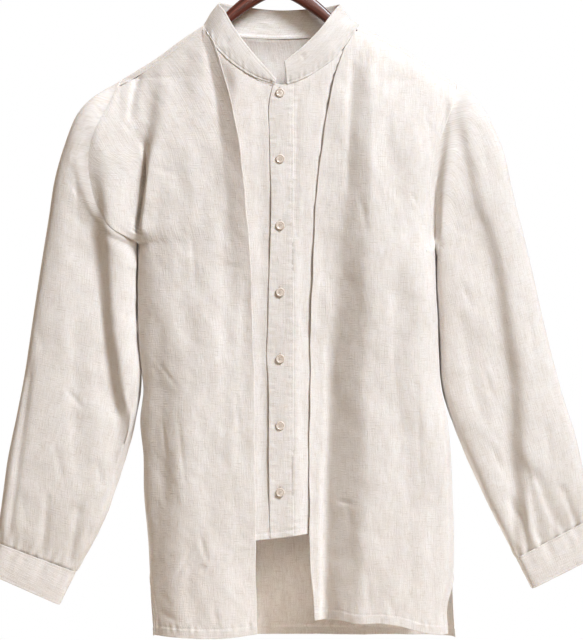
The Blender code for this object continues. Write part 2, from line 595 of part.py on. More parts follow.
def hook_points():
    """The hook's centre line: a plumb shank, an easy bend out, and the round hook over the top."""
    centre_z = HOOK_WIRE - HOOK_RADIUS
    foot = np.array([0.0, 0.0, ARM["top"][0] + SEAM_GAP])
    bend = foot + np.array([0.0, 0.0, HOOK_SHANK])
    start = math.radians(-60.0)
    entry = np.array([HOOK_RADIUS * math.cos(start), 0.0, centre_z + HOOK_RADIUS * math.sin(start)])
    rise = np.array([0.0, 0.0, 1.0]) * HOOK_SHANK
    away = np.array([-math.sin(start), 0.0, math.cos(start)]) * HOOK_SHANK
    points = [foot]
    for t in np.linspace(0.0, 1.0, 7):
        points.append((2 * t ** 3 - 3 * t ** 2 + 1) * bend + (t ** 3 - 2 * t ** 2 + t) * rise
                      + (3 * t ** 2 - 2 * t ** 3) * entry + (t ** 3 - t ** 2) * away)
    for turn in np.linspace(start, math.radians(200.0), 21)[1:]:
        points.append(np.array([HOOK_RADIUS * math.cos(turn), 0.0,
                                centre_z + HOOK_RADIUS * math.sin(turn)]))
    return points


def hanger_hook(collection, material):
    """The steel hook, screwed upright into the middle of the wood."""
    points = hook_points()
    curve = bpy.data.curves.new("hanger_hook", "CURVE")
    curve.dimensions = "3D"
    curve.bevel_depth = HOOK_WIRE
    curve.bevel_resolution = 2
    curve.use_fill_caps = True
    spline = curve.splines.new("POLY")
    spline.points.add(len(points) - 1)
    for point, place in zip(spline.points, points):
        point.co = (*place, 1.0)
    curve.materials.append(material)
    obj = bpy.data.objects.new("hanger_hook", curve)
    collection.objects.link(obj)


def main():
    for obj in list(bpy.data.objects):
        bpy.data.objects.remove(obj, do_unlink=True)
    collection = bpy.data.collections.new("shirt_jacket")
    bpy.context.scene.collection.children.link(collection)
    linen = new_material("linen")
    back_panel(collection, linen)
    for side in (-1, 1):
        outer_front(collection, side, linen)
        inner_front(collection, side, linen)
        sleeve(collection, side, linen)
        cuff(collection, side, linen)
    button_band(collection, linen)
    collar(collection, linen)
    buttons(collection, new_material("shell"))
    hanger_wood(collection, new_material("stained wood"))
    hanger_hook(collection, new_material("plated steel"))


if __name__ == "__main__":
    main()
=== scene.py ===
"""Linen shirt jacket on a wooden hanger: the cloth, its stitching, the buttons and the hanger.

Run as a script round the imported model. Every piece is a surface worked out on a grid from named
sizes and short tables, with +Z up, the garment's front facing -Y and the hanger's hook at the
origin. Right and left are the wearer's, so the right side is at -X. Named sizes are in metres.
"""
import math

import bpy
import numpy as np
from bpy.props import FloatProperty, FloatVectorProperty, PointerProperty
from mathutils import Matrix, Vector


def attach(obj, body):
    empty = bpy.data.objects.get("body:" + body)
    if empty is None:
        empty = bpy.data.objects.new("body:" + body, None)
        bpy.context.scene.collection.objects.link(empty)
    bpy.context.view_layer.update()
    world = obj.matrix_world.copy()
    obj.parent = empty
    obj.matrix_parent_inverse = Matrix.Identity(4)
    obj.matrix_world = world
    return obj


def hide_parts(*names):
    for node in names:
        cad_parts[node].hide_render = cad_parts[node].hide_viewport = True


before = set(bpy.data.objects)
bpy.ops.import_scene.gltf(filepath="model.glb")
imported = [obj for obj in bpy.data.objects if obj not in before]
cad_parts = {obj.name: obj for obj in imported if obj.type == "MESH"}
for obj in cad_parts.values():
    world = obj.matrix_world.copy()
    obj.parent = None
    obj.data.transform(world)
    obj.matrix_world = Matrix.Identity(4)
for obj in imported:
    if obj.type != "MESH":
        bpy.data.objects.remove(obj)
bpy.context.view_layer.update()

bl_info = {
    "name": "Linen shirt jacket on a hanger",
    "version": (1, 0, 0),
    "blender": (4, 5, 0),
    "location": "3D View > Sidebar > Shirt jacket",
    "description": "Makes a linen shirt jacket, its stitching and buttons, and its wooden hanger",
    "category": "Add Mesh",
}

RIGHT, LEFT = -1, 1
WORDS = {RIGHT: "right", LEFT: "left"}
PLAIN_COLUMNS = {"t", "down", "behind", "round_right", "round_left", "into", "over"}


def table(names, *rows):
    """A short table: a row for each section, each column an array under its name. Its lengths are
    written in millimetres and come out in metres; a plain column has no unit."""
    columns = dict(zip(names.split(), np.array(rows, dtype=float).T))
    return {name: column if name in PLAIN_COLUMNS else column / 1000.0 for name, column in columns.items()}


def sides(names, right, left):
    """A table for each side of the garment."""
    return {RIGHT: table(names, *right), LEFT: table(names, *left)}


# ---------------------------------------------------------------- the garment's sizes
CENTRE_X = 0.003                # centre front and centre back
NECK_TOP = -0.121               # height of the neck points, where collar and shoulder meet
NECK_HALF = 0.095               # half the neckline's width
NECK_DROP_FRONT = 0.078         # from the neck points down to the centre front
NECK_DROP_BACK = 0.014          # from the neck points down to the centre back
NECKLINE_POWER = 1.5            # below 2, the front neckline runs straighter
SHOULDER_SEAM_DROP = 0.008      # the back reaches over the shoulder and ends this far below it
SHOULDER_ROUND = 0.080          # how fast the body fills out below the shoulder line
ARMHOLE_RISE = 0.0035           # how far the right armhole's lower half is filled out
ARMHOLE_RISE_REACH = 0.030      # and how far from the seam that fades
ARMHOLE_DEPTH = 0.042           # from the hanger's plane to the armhole's front
BACK_ARMHOLE_DIP = 0.012        # how far the back armholes cut in behind the line to the tip
BACK_SHARE = 0.857              # the depth behind the hanger's plane, of that before it
UNDERARM_POWER = 10.0           # above 2, the sleeves lie flatter between their edges
SLEEVE_POWER = 6.0              # the same half way down
SIDE_POWER_BACK = 2.6           # roundness of the back's sides seen from above
LAYER_EDGE = 0.0024             # how far the inner fronts lie under the outer ones, at the seams
LAYER_FULL = 0.0036             # the same, away from the seams
LAYER_FOLDS = 0.0070            # and this much more where the outer fronts sink into folds
UNDERLAP = 0.0120               # how far the right inner front runs under the button band
UNDERLAP_DROP = 0.0014          # how much deeper it runs there
BAND_EDGE = 0.0190              # the button band's sewn edge
FRONT_LENGTH, INNER_LENGTH, BACK_LENGTH, BAND_LENGTH = 0.757, 0.639, 0.766, 0.570
SLEEVE_LENGTH, CUFF_LENGTH, COLLAR_LENGTH, COLLAR_HEIGHT = 0.60, 0.046, 0.43, 0.032
NECK_LAP = 0.0012               # the collar's seam lies this far below the neckline
FACING_END = -0.768             # height at which the right front's hidden facing ends
SLIT_TOP = -0.807               # side slits open below this height
SLIT_PULL = {RIGHT: 0.004, LEFT: 0.011}     # how far a front's edge swings from the back's below it
SLIT_HEM = 0.006                # turned hem along the slits
BODY_HEM = 0.011                # turned hems of the fronts and the back
INNER_HEM = 0.007               # turned hem of the short inner fronts
EDGE_STITCH = 0.0022            # from a seam or a folded edge to the stitches beside it
COLLAR_FOOT_STITCH = 0.0020
CUFF_FOLD_STITCH = 0.0030
SHOULDER_STITCH = 0.0030
ARMHOLE_STITCH = 0.0055
BUTTON_TOP = -0.2095            # height of the first button
BUTTON_STEP = 0.0821            # from one button to the next
BUTTON_COUNT = 7
BUTTON_HOLE_OUT = 0.00115       # from a button's middle to each of its four holes
BUTTONHOLE_HALF = 0.0076        # half the height of a buttonhole
BUTTON_OUT = 0.0013             # from the button band's face to a button's middle
BUTTON_THREAD = 0.00034         # radius of the thread that crosses a button
BUTTONHOLE_CORD = 0.00035       # radius of a buttonhole's cords
COLLAR_WALL = 0.0022            # two layers of linen and one of interlining
CUFF_WALL = 0.0010
BAND_WALL = 0.0009
HOOK_WIRE = 0.0019
HOOK_RADIUS = 0.0200            # from the bend's centre to the wire's centre
HOOK_SHANK = 0.010
HANGER_HALF_THICK = 0.0065
SETTLING_STEPS = 12             # rounds in which a panel's x and z settle to agree
FIRST_HALF = 0.1                # first guess of a panel's width, before they settle
FRONT_WIDTH = 0.19              # about, for the spacing of a front's columns
SHOULDER_WIDTH = 0.12           # about, for the spacing of the back's columns
SLEEVE_COLUMNS = 128            # points round a sleeve or cuff
ROWS_OVER = 8                   # rows of the back from the shoulder seam to the crest

# ---------------------------------------------------------------- tables of the form
BODY = table(
    "height right left front back round_right round_left",
    (-886, -155, 221, 50, 50, 3.6, 8), (-825, -159, 218, 51, 49, 3.6, 8),
    (-765, -162, 219, 52, 48, 3.6, 8), (-702, -167.5, 217, 53, 48, 3.6, 8),
    (-659, -168, 215, 53, 48, 3.7, 8), (-615, -172, 211, 53, 47, 3.8, 8),
    (-574, -168, 202.5, 53, 47, 3.9, 8), (-540, -172.5, 200.5, 53, 47, 4.1, 8),
    (-465, -175, 197, 54, 46, 4.5, 8), (-390, -174, 195, 54, 46, 4.5, 8),
    (-120, -174, 195, 54, 46, 4.5, 8))
ARMHOLE = sides(
    "height x",
    [(-394, -175), (-381, -200), (-355, -220), (-321, -231), (-284, -233), (-256, -226), (-224, -210),
     (-190, -196)],
    [(-404, 195), (-365, 192.5), (-327.5, 191), (-301, 194), (-277.5, 198), (-235, 213), (-219, 219),
     (-195, 224)])
SHOULDER = sides(
    "x height",
    [(-196, -190), (-181, -181), (-155, -165), (-119.5, -139), (-92, -121)],
    [(96, -121), (114, -129), (146, -145), (177.5, -165.5), (204, -184), (224, -195)])
HEM_OUTER = sides(
    "x height",
    [(-155, -880), (-55, -880), (-26, -876)],
    [(46, -861), (75, -859), (95, -862), (130, -862), (150, -865), (170, -871), (186, -875), (221, -877)])
HEM_INNER = table("x height", (-160, -765), (-26, -761), (40, -753.5), (220, -755))
HEM_BACK = table("x height", (-155, -884), (0, -888), (100, -888), (221, -886))
BAND_FREE_EDGE = table(
    "height x",
    (-765, -8.8), (-690, -10.4), (-645, -10.8), (-610, -10.6), (-560, -11.4), (-536, -13.4),
    (-500, -11.8), (-446, -10.6), (-400, -9), (-340, -7.8), (-300, -8.8), (-258, -10), (-228, -10.6),
    (-215, -9), (-200, -5.5))

# The free edges of the open outer fronts: far edge, swing at the neck and its length, and foot.
FREE_EDGE = sides("far swing length foot", [(-27, -65, 135, 1)], [(39, 57, 120, 7)])

# The collar, by its share t of the way from its right front end round the back to its left one:
# where its seam lies on the neckline, in front or behind, and its top edge.
COLLAR = table(
    "t seam_x behind top_x top_y top_z",
    (0, -4, 0, -3, -43, -192.5), (0.06, -26, 0, -15, -40.5, -179), (0.14, -49, 0, -33, -35, -158),
    (0.22, -68, 0, -51, -29, -134), (0.31, -86.5, 0, -67, -16, -106), (0.38, -92.5, 1, -74, 2, -93.5),
    (0.44, -60, 1, -50, 13, -97), (0.5, 3, 1, 2, 18, -102), (0.56, 66, 1, 54, 13, -99),
    (0.62, 94.5, 1, 78, 2, -96), (0.655, 99.5, 1, 74.5, -8, -100.5), (0.69, 96.5, 0, 69, -18.5, -108),
    (0.78, 74, 0, 54, -33, -129), (0.86, 55, 0, 35, -38.5, -149), (0.94, 32, 0, 19, -41.2, -163),
    (1, 12, 0, 9, -43, -171))

# The sleeves and cuffs, seen from the front: their outer and inner outline, and their depth.
SLEEVE = sides(
    "down out_x out_z in_x in_z depth",
    [(0, -196, -190, -175.5, -394.5, 42), (0.06, -222, -209, -176.8, -399, 42),
     (0.12, -243, -234, -177, -406, 41), (0.19, -260, -271, -177, -417, 40),
     (0.27, -275, -315, -176.8, -433, 38), (0.35, -284.5, -365, -176.4, -454, 36),
     (0.43, -295, -425, -175.6, -480, 35), (0.52, -305, -490, -174.5, -515, 34),
     (0.6, -315, -556, -170.2, -564, 33), (0.68, -325, -608, -175, -606, 32),
     (0.76, -336, -661, -189, -660, 31), (0.84, -342, -704, -204, -707, 29),
     (0.92, -347, -739, -225, -754, 25), (1, -351, -767, -253, -803.5, 18)],
    [(0, 224, -195, 195.5, -404.5, 42), (0.06, 245, -212, 197.2, -411, 42),
     (0.12, 261, -236, 197.4, -418, 41), (0.19, 279, -275, 197.5, -427, 40),
     (0.27, 290, -320, 197.4, -440, 38), (0.35, 298.5, -356, 197.8, -458, 36),
     (0.43, 310, -401, 199, -483, 35), (0.52, 327.5, -479, 201.5, -530, 34),
     (0.6, 340, -530, 205.5, -572, 33), (0.68, 355, -585, 218, -618, 32),
     (0.76, 370, -632, 237, -662, 31), (0.84, 381, -682, 260, -712, 29), (0.92, 388, -716, 278, -747, 25),
     (1, 392, -736, 298, -786, 18)])
CUFF = sides(
    "down out_x out_z in_x in_z depth",
    [(0, -351, -767, -253, -803.5, 18.3), (0.5, -359.5, -785, -262.5, -824, 19),
     (1, -367, -802, -272, -844, 18.5)],
    [(0, 392, -736, 298, -786, 18.3), (0.5, 401, -756, 307, -805, 19), (1, 410, -777, 316.5, -824, 18.5)])

# The hanger's arms, from the middle to a tip.
ARM = table(
    "out top bottom",
    (0, -60, -84), (18, -69, -91.5), (51, -93, -113), (70, -111, -128), (90, -130.5, -145.5),
    (110, -143, -157.5), (130, -156, -170), (155, -173, -186), (178, -187.5, -199), (190, -195, -204.5))

# ---------------------------------------------------------------- folds and creases
# A fold runs down through x_top, x_mid and x_end between two heights. It stands out (positive
# lift) or sinks in, and falls off within a width of its own towards -X and towards +X.
FOLD = "top bottom x_top x_mid x_end minus_x plus_x lift"
FOLDS_OUTER = sides(
    FOLD,
    [(-180, -250, -174, -180, -183, 4, 7, -2.8), (-270, -560, -122, -118, -110, 10, 22, -1.6),
     (-340, -640, -69, -64, -68, 8, 14, -1.8), (-420, -700, -40, -44, -50, 7, 12, -1.4),
     (-560, -760, -138, -140, -132, 6, 12, -1), (-430, -1100, -114, -112, -106, 26, 75, 6.5),
     (-470, -1000, -150, -148, -142, 8, 12, -1.4), (-700, -1000, -112, -106, -100, 10, 16, -0.8),
     (-640, -1000, -62, -58, -52, 14, 18, 1.2)],
    [(-150, -360, 94, 89, 86, 5, 14, -3), (-480, -720, 62, 62, 60, 5, 16, -2.4),
     (-640, -1050, 57, 56.5, 56, 4, 11, -3.6), (-150, -330, 140, 136, 138, 10, 16, -1.6),
     (-420, -800, 150, 153, 150, 16, 22, -2.2), (-480, -1050, 188, 190, 196, 12, 14, -2.4),
     (-600, -1050, 50, 50, 50, 6, 6, 0.8)])
FOLDS_INNER = table(
    FOLD,
    (-165, -215, 40, 33, 24, 4, 7, -1.8), (-200, -420, 25, 22, 23, 3, 5, -1.2),
    (-300, -700, 32, 30, 31, 4, 6, -0.8), (-190, -500, -30, -22, -21, 5, 8, -1),
    (-480, -760, -22, -19, -21, 5, 6, -0.9))
FOLDS_BACK = table(
    FOLD,
    (-200, -430, -160, -172, -180, 10, 16, -5), (-190, -1000, -104, -94, -80, 14, 24, -6),
    (-260, -1000, -30, -18, -34, 20, 14, -4.5), (-350, -800, 20, 34, 30, 18, 12, 3),
    (-190, -1000, 84, 92, 112, 24, 15, -6), (-210, -440, 186, 180, 192, 12, 9, -4.5),
    (-480, -1000, 160, 166, 172, 16, 12, -3.5), (-520, -1000, -140, -136, -128, 12, 15, -3.2))
FOLDS_SLEEVE = sides(
    FOLD,
    [(-470, -700, -246, -252, -246, 8, 16, -2.4), (-530, -790, -305, -322, -339, 3, 5, -3),
     (-560, -720, -181, -190, -206, 5, 7, -3.2), (-300, -560, -262, -266, -268, 10, 12, 1.2),
     (-700, -800, -286, -290, -296, 4, 6, -2.2), (-715, -810, -246, -254, -262, 4, 6, -2.2)],
    [(-660, -790, 305, 317, 333, 5, 10, -3.4), (-670, -765, 317, 333, 355, 4, 9, -2.6),
     (-720, -795, 297, 306, 313, 3, 6, -3.8), (-480, -640, 232, 240, 262, 8, 12, -2),
     (-690, -760, 350, 362, 372, 3, 5, -2)])
FOLDS_SLEEVE_BACK = sides(
    FOLD,
    [(-240, -620, -236, -232, -200, 16, 10, -7), (-420, -790, -272, -286, -305, 18, 10, -5),
     (-560, -680, -190, -214, -240, 6, 6, -3), (-700, -800, -262, -268, -276, 5, 4, -3),
     (-700, -800, -318, -324, -330, 5, 4, -2.6)],
    [(-240, -640, 246, 256, 262, 16, 10, -7), (-440, -780, 305, 316, 334, 16, 9, -5),
     (-560, -680, 226, 254, 284, 6, 6, -3), (-690, -780, 318, 324, 330, 4, 5, -3),
     (-690, -780, 352, 360, 366, 4, 5, -2.6)])

# A crease is a short straight pinch from one place to another, seen from the front or the back.
CREASE = "x z to_x to_z width lift"
CREASES_OUTER = sides(
    CREASE,
    [(-160, -300, -120, -312, 3, -1), (-142, -610, -136, -670, 3, -0.9),
     (-124, -590, -110, -715, 3.4, -0.8), (-150, -540, -120, -575, 2.6, -0.9),
     (-96, -750, -86, -790, 3, -1.8), (-86, -790, -98, -800, 2.6, -1.4), (-130, -820, -100, -760, 3, -1),
     (-70, -420, -40, -428, 2.4, -0.7), (-54, -560, -46, -640, 3, -1), (-110, -350, -100, -460, 3.4, -1),
     (-80, -830, -72, -880, 4, -1.4), (-150, -850, -118, -862, 3, -1)],
    [(71, -713, 93, -715, 2.4, -2), (84, -715, 90, -745, 2.6, -1.2), (106, -190, 112, -150, 3, -1),
     (125, -160, 122, -230, 4, -1.2), (100, -330, 112, -400, 3, -1.2), (140, -500, 150, -640, 4, -1),
     (170, -560, 176, -720, 4, -1), (110, -790, 112, -860, 4, -1.2), (130, -820, 150, -866, 3.4, -0.9),
     (180, -240, 192, -262, 2.4, -1), (160, -330, 172, -350, 2.8, -0.8)])
CREASES_BACK = table(
    CREASE,
    (-150, -300, -100, -330, 4, -1.4), (60, -420, 120, -440, 4, -1.2), (-60, -560, -20, -590, 3.6, -1.2),
    (20, -700, 80, -690, 3.6, -1), (-120, -760, -100, -840, 4, -1.6), (140, -780, 152, -850, 4, -1.4),
    (-10, -240, 40, -252, 4, -1), (120, -260, 170, -300, 3.6, -1.4), (-40, -820, -30, -880, 4, -1.2),
    (60, -800, 56, -870, 4, -1.2))
CREASES_SLEEVE = sides(
    CREASE,
    [(-265, -572, -238, -604, 2.2, -2), (-300, -480, -290, -540, 3.4, -1),
     (-276, -640, -264, -700, 3.4, -1.2), (-226, -660, -216, -700, 3, -1.4),
     (-320, -690, -312, -750, 3, -1), (-250, -300, -246, -380, 3.4, -0.8),
     (-232, -742, -240, -770, 2.6, -1.4), (-206, -500, -196, -560, 3, -1)],
    [(306, -460, 318, -540, 3.6, -1), (330, -600, 340, -680, 3.4, -1.2),
     (252, -540, 270, -600, 3.2, -1.2), (262, -640, 284, -690, 3, -1.4),
     (286, -700, 296, -740, 2.8, -1.6), (345, -690, 356, -720, 2.4, -1.2),
     (226, -440, 242, -480, 3, -1.2), (250, -270, 262, -320, 3.4, -0.8)])
CREASES_COLLAR = table(
    CREASE, (34, -160, 30, -168, 2.2, -0.8), (27, -160, 34, -172, 2, -0.6), (-20, -120, -6, -116, 3, -1.4),
    (-60, -140, -66, -152, 3, -1))

# A tuck is a fold like a step: the cloth on its +X side stands higher than on its -X side, where
# a narrow groove may run along its foot. Each armhole has one on the body's side of its seam and
# one on the sleeve's.
TUCK = "height x width rise reach groove"
TUCKS_BODY = sides(
    TUCK,
    [(-425, -174, 2, 0, 20, 0), (-405, -173.5, 2, 6, 20, 5), (-385, -172.5, 2, 10, 20, 8.5),
     (-340, -166.5, 1.8, 13, 20, 11), (-303, -162.5, 1.8, 14, 22, 11.5), (-285, -160, 3, 14.5, 24, 7),
     (-265, -156.5, 7.5, 14, 28, 0), (-234, -153, 8.5, 10.5, 30, 0), (-215, -150, 8.5, 7, 30, 0),
     (-185, -148, 8, 3, 30, 0), (-165, -147, 8, 0, 30, 0)],
    [(-425, 197, 3, 0, 14, 0), (-390, 198.5, 3, 8.5, 16, 6.5), (-340, 200, 4, 9, 18, 6),
     (-303, 204.5, 4.5, 7, 18, 2), (-270, 208, 4, 5.5, 18, 0), (-220, 211, 4, 4, 18, 0),
     (-182, 213, 3.5, 0, 18, 0)])
TUCKS_SLEEVE = sides(
    TUCK,
    [(-700, -204, 4.5, 0, 22, 0), (-665, -199, 4.5, 7, 22, 0), (-615, -189.5, 5.5, 16, 24, 1),
     (-578, -196, 5.5, 16.5, 26, 1), (-540, -202.5, 5.5, 16.5, 28, 1), (-490, -208.5, 5.5, 16, 28, 1),
     (-440, -213, 6.5, 15, 28, 1), (-390, -215.5, 7, 14, 28, 0.5), (-340, -217.5, 7.5, 12.5, 28, 0),
     (-303, -225, 10, 10, 28, 0), (-265, -229, 10, 6.5, 26, 0), (-235, -233, 7, 0, 22, 0)],
    [(-790, 308, 6, 0, 30, 0), (-740, 303, 7, 12, 30, 2), (-690, 303, 8, 15.5, 32, 2),
     (-640, 297, 8, 15, 34, 1), (-590, 295.5, 8, 14.5, 34, 0), (-540, 291, 8, 14, 34, 0),
     (-490, 282.5, 7.5, 13, 34, 0), (-440, 275, 7.5, 11, 32, 0), (-390, 264, 7, 7.5, 28, 0),
     (-340, 245.5, 6, 6, 22, 0), (-303, 238.5, 6, 6, 20, 0), (-265, 230, 6, 6, 18, 0),
     (-220, 223, 5, 0, 18, 0)])

# The flare of the right outer front: the strip beside its free edge turns towards the viewer.
FLARE = table(
    "height fold_x lift",
    (-500, -50, 0), (-465, -52, 1.2), (-415, -56, 3.6), (-365, -61, 6.2), (-315, -65.5, 9.5),
    (-265, -71, 12.5), (-215, -77, 13), (-175, -85, 10.5), (-140, -94, 7), (-121, -97, 2))

# The roll of the left outer front: the strip by its free edge lies low, then the cloth climbs
# from foot to crest and falls gently to the side. The climb is plane but for its share 'into' at
# the foot and its share 'over' at the crest, which are rounded.
ROLL = table(
    "height foot_x crest_x low high into over",
    (-880, 57, 109, -12, 13, 0.12, 0.3), (-790, 57, 109, -12, 13.5, 0.12, 0.3),
    (-690, 58.5, 111, -12.5, 13.5, 0.12, 0.3), (-590, 61, 115, -13, 13.5, 0.15, 0.3),
    (-490, 64, 116, -12, 13, 0.25, 0.3), (-415, 66.5, 116.5, -9.5, 12, 0.3, 0.3),
    (-340, 72, 116, -6, 10.5, 0.3, 0.15), (-278, 79, 116, -4, 8.5, 0.3, 0.1),
    (-215, 84, 115.5, -3, 5, 0.3, 0.1), (-150, 90, 118, 0, 1, 0.3, 0.3))


# ---------------------------------------------------------------- curves through the tables
def along(rows, key, name, at):
    """Column 'name' where column 'key' is 'at': a cubic through the rows, level past the ends."""
    keys, values = rows[key], rows[name]
    at = np.clip(np.asarray(at, dtype=float), keys[0], keys[-1])
    slopes = np.gradient(values, keys)
    left = np.clip(np.searchsorted(keys, at, side="right") - 1, 0, len(keys) - 2)
    span = keys[left + 1] - keys[left]
    t = (at - keys[left]) / span
    return ((2 * t ** 3 - 3 * t ** 2 + 1) * values[left] + (t ** 3 - 2 * t ** 2 + t) * span * slopes[left]
            + (3 * t ** 2 - 2 * t ** 3) * values[left + 1] + (t ** 3 - t ** 2) * span * slopes[left + 1])


def row_at(rows, key, at):
    """Every column of a table where column 'key' is 'at'."""
    return {name: along(rows, key, name, at) for name in rows}


def ease(low, high, at):
    """0 below low, 1 above high, and a smooth step between them."""
    t = np.clip((at - low) / (high - low), 0.0, 1.0)
    return t * t * (3.0 - 2.0 * t)


def bell(off, width):
    """1 where off is 0, falling away within a width on both sides."""
    return np.exp(-(off / width) ** 2)


def shares(length, fine_start, fine_end, fine=0.0011, coarse=0.0032):
    """Shares from 0 to 1 of a length: fine steps within a distance of each end, coarse between."""
    places = [0.0]
    while places[-1] < length:
        at = places[-1]
        near = min(max(at - fine_start, 0.0), max(length - fine_end - at, 0.0))
        places.append(at + fine + (coarse - fine) * min(near / 0.012, 1.0))
    return np.array(places) / places[-1]


def folds_at(folds, x, z):
    """Height of all the folds of a table: across each a bell whose two sides may differ in
    width, along each a fade in over the first sixth and out over the last quarter."""
    total = np.zeros(np.broadcast(x, z).shape)
    for top, bottom, first, middle, last, minus_x, plus_x, lift in zip(*folds.values()):
        t = np.clip((z - top) / (bottom - top), 0.0, 1.0)
        off = x - first - t * (4 * middle - 3 * first - last) - t * t * (2 * first - 4 * middle + 2 * last)
        across = bell(off, np.where(off < 0.0, minus_x, plus_x))
        total += lift * across * ease(0.0, 0.16, t) * ease(1.0, 0.75, t)
    return total


def creases_at(creases, x, z):
    """Height of all the creases of a table: across each a narrow bell, tapering to both ends."""
    total = np.zeros(np.broadcast(x, z).shape)
    for from_x, from_z, to_x, to_z, width, lift in zip(*creases.values()):
        length = np.hypot(to_x - from_x, to_z - from_z)
        run_x, run_z = (to_x - from_x) / length, (to_z - from_z) / length
        t = ((x - from_x) * run_x + (z - from_z) * run_z) / length
        off = (x - from_x) * run_z - (z - from_z) * run_x
        total += lift * bell(off, width) * np.clip(4.0 * t * (1.0 - t), 0.0, 1.0) ** 1.5
    return total


def tuck_at(tuck, x, z):
    """Height of a tuck: a smooth step across its path, dying out on both sides, less a narrow
    bell for the groove along its foot."""
    row = row_at(tuck, "height", z)
    off = x - row["x"]
    step = row["rise"] / 2.0 * np.tanh(off / row["width"]) * bell(off, row["reach"])
    return step - row["groove"] * bell(off / row["width"] + 1.3, 0.9)


def crumple(u, v, seed, height=1.0):
    """Crumples of washed linen: sums of waves in random directions, mostly across the warp, made
    into soft ridges, over three lengths of wave."""
    random = np.random.default_rng(seed)
    total = np.zeros(np.shape(u))
    for length, rise, waves, spread in ((0.085, 0.00120, 5, 0.40), (0.038, 0.00042, 8, 0.75),
                                        (0.016, 0.00011, 10, 1.10)):
        field = np.zeros(np.shape(u))
        for _ in range(waves):
            turn = random.normal(0.0, spread)
            number = 2.0 * math.pi / (length * random.uniform(0.7, 1.5))
            phase = random.uniform(0.0, 2.0 * math.pi)
            field += np.sin(number * (u * math.cos(turn) + v * math.sin(turn)) + phase)
        total += rise * np.tanh(field / math.sqrt(waves / 2.0))
    return height * total


# ---------------------------------------------------------------- the body's form
def side_x(side, z):
    """Where the front ends at height z: the side seam, then the armhole, up to the tip."""
    armhole = ARMHOLE[side]
    seam = along(BODY, "height", WORDS[side], z)
    return np.where(z < armhole["height"][0], seam, along(armhole, "height", "x", z))


def back_side_x(side, z):
    """The same for the back, whose armhole runs almost straight from underarm to tip."""
    low, tip = ARMHOLE[side]["height"][[0, -1]]
    low_x, tip_x = ARMHOLE[side]["x"][[0, -1]]
    t = np.clip((z - low) / (tip - low), 0.0, 1.0)
    chord = low_x + (tip_x - low_x) * t
    return np.where(z < low, side_x(side, z), chord - side * BACK_ARMHOLE_DIP * np.sin(math.pi * t))


def shoulder_z(side, x):
    """Height of the shoulder line above x, level with the neck point inside the neckline."""
    return along(SHOULDER[side], "x", "height", x)


def depth(side, x, z, inset=0.0, behind=False):
    """Distance of the body's surface from the hanger's plane, in front of it or behind it: it
    grows from nothing on the shoulder line to the full depth, and closes round the side below
    the underarm; above it, it eases to the depth of the armhole, where the sleeve goes on."""
    full = along(BODY, "height", "back" if behind else "front", z) - inset
    edge = (back_side_x if behind else side_x)(side, z) - side * inset
    across = np.clip((x - CENTRE_X) / (edge - CENTRE_X), 0.0, 1.0)
    below = np.maximum(shoulder_z(side, x) - inset - z, 0.0)
    filled = full * np.sqrt(1.0 - np.exp(-below / SHOULDER_ROUND))
    power = SIDE_POWER_BACK if behind else along(BODY, "height", "round_" + WORDS[side], z)
    rounded = (1.0 - across ** power) ** (1.0 / power)
    low, tip = ARMHOLE[side]["height"][[0, -1]]
    t = np.clip((z - (low + tip) / 2) / ((tip - low) / 2), -1.0, 1.0)
    over = np.sqrt(1.0 - np.maximum(t, 0.0) ** 2)
    under = (1.0 - np.maximum(-t, 0.0) ** UNDERARM_POWER) ** (1.0 / UNDERARM_POWER)
    reach = np.clip(ARMHOLE_DEPTH * over * (BACK_SHARE if behind else 1.0) - inset, 0.0, filled)
    closing = rounded + (ease(1.0, 0.45, across) - rounded) * ease(0.015, 0.090, below)
    to_sleeve = filled * closing + reach * (1.0 - closing)
    seam = ease(0.88, 1.0, across)
    share = seam * under + (1.0 - seam) * ease(low - 0.030, low + 0.050, z)
    return filled * rounded + (to_sleeve - filled * rounded) * share


def neckline_z(x):
    """The front neckline: from the neck points down to the centre front."""
    t = np.clip(np.abs(x - CENTRE_X) / NECK_HALF, 0.0, 1.0)
    return NECK_TOP - NECK_DROP_FRONT * (1.0 - t ** NECKLINE_POWER) ** (1.0 / NECKLINE_POWER)


def back_neckline_z(x):
    """The back neckline, a shallow half ellipse."""
    t = np.clip(np.abs(x - CENTRE_X) / NECK_HALF, 0.0, 1.0)
    return NECK_TOP - NECK_DROP_BACK * np.sqrt(1.0 - t ** 2)


def front_top_z(side, x):
    """Top of the fronts: the neckline, then the shoulder seam just in front of the crest."""
    return np.minimum(neckline_z(x), shoulder_z(side, x) - SHOULDER_SEAM_DROP)


def roll_at(x, z, whole=True):
    """The left front's roll. Without its climb it is the low strip alone, on which it lies."""
    row, side = row_at(ROLL, "height", z), side_x(LEFT, z)
    strip = row["low"] * ease(0.016, row["foot_x"] - 0.006, x) * ease(side, side - 0.060, x)
    if not whole:
        return strip
    t = np.clip((x - row["foot_x"]) / (row["crest_x"] - row["foot_x"]), 0.0, 1.0)
    into, over = row["into"], row["over"]
    last = np.clip(t - 1.0 + over, 0.0, over)
    climb = (np.minimum(t, into) ** 2 / (2.0 * into) + np.clip(t - into, 0.0, 1.0 - over - into)
             + last - last ** 2 / (2.0 * over)) / (1.0 - (into + over) / 2.0)
    fall = np.clip((side - x) / (side - row["crest_x"]), 0.0, 1.0)
    return strip + (row["high"] - row["low"]) * climb * (1.0 - (1.0 - fall) ** 4)


def sunk_at(side, x, z):
    """How far the outer front sinks, and presses down the inner front beneath it."""
    sunk = np.maximum(-folds_at(FOLDS_OUTER[side], x, z), 0.0)
    return sunk if side == RIGHT else sunk - roll_at(x, z, False)


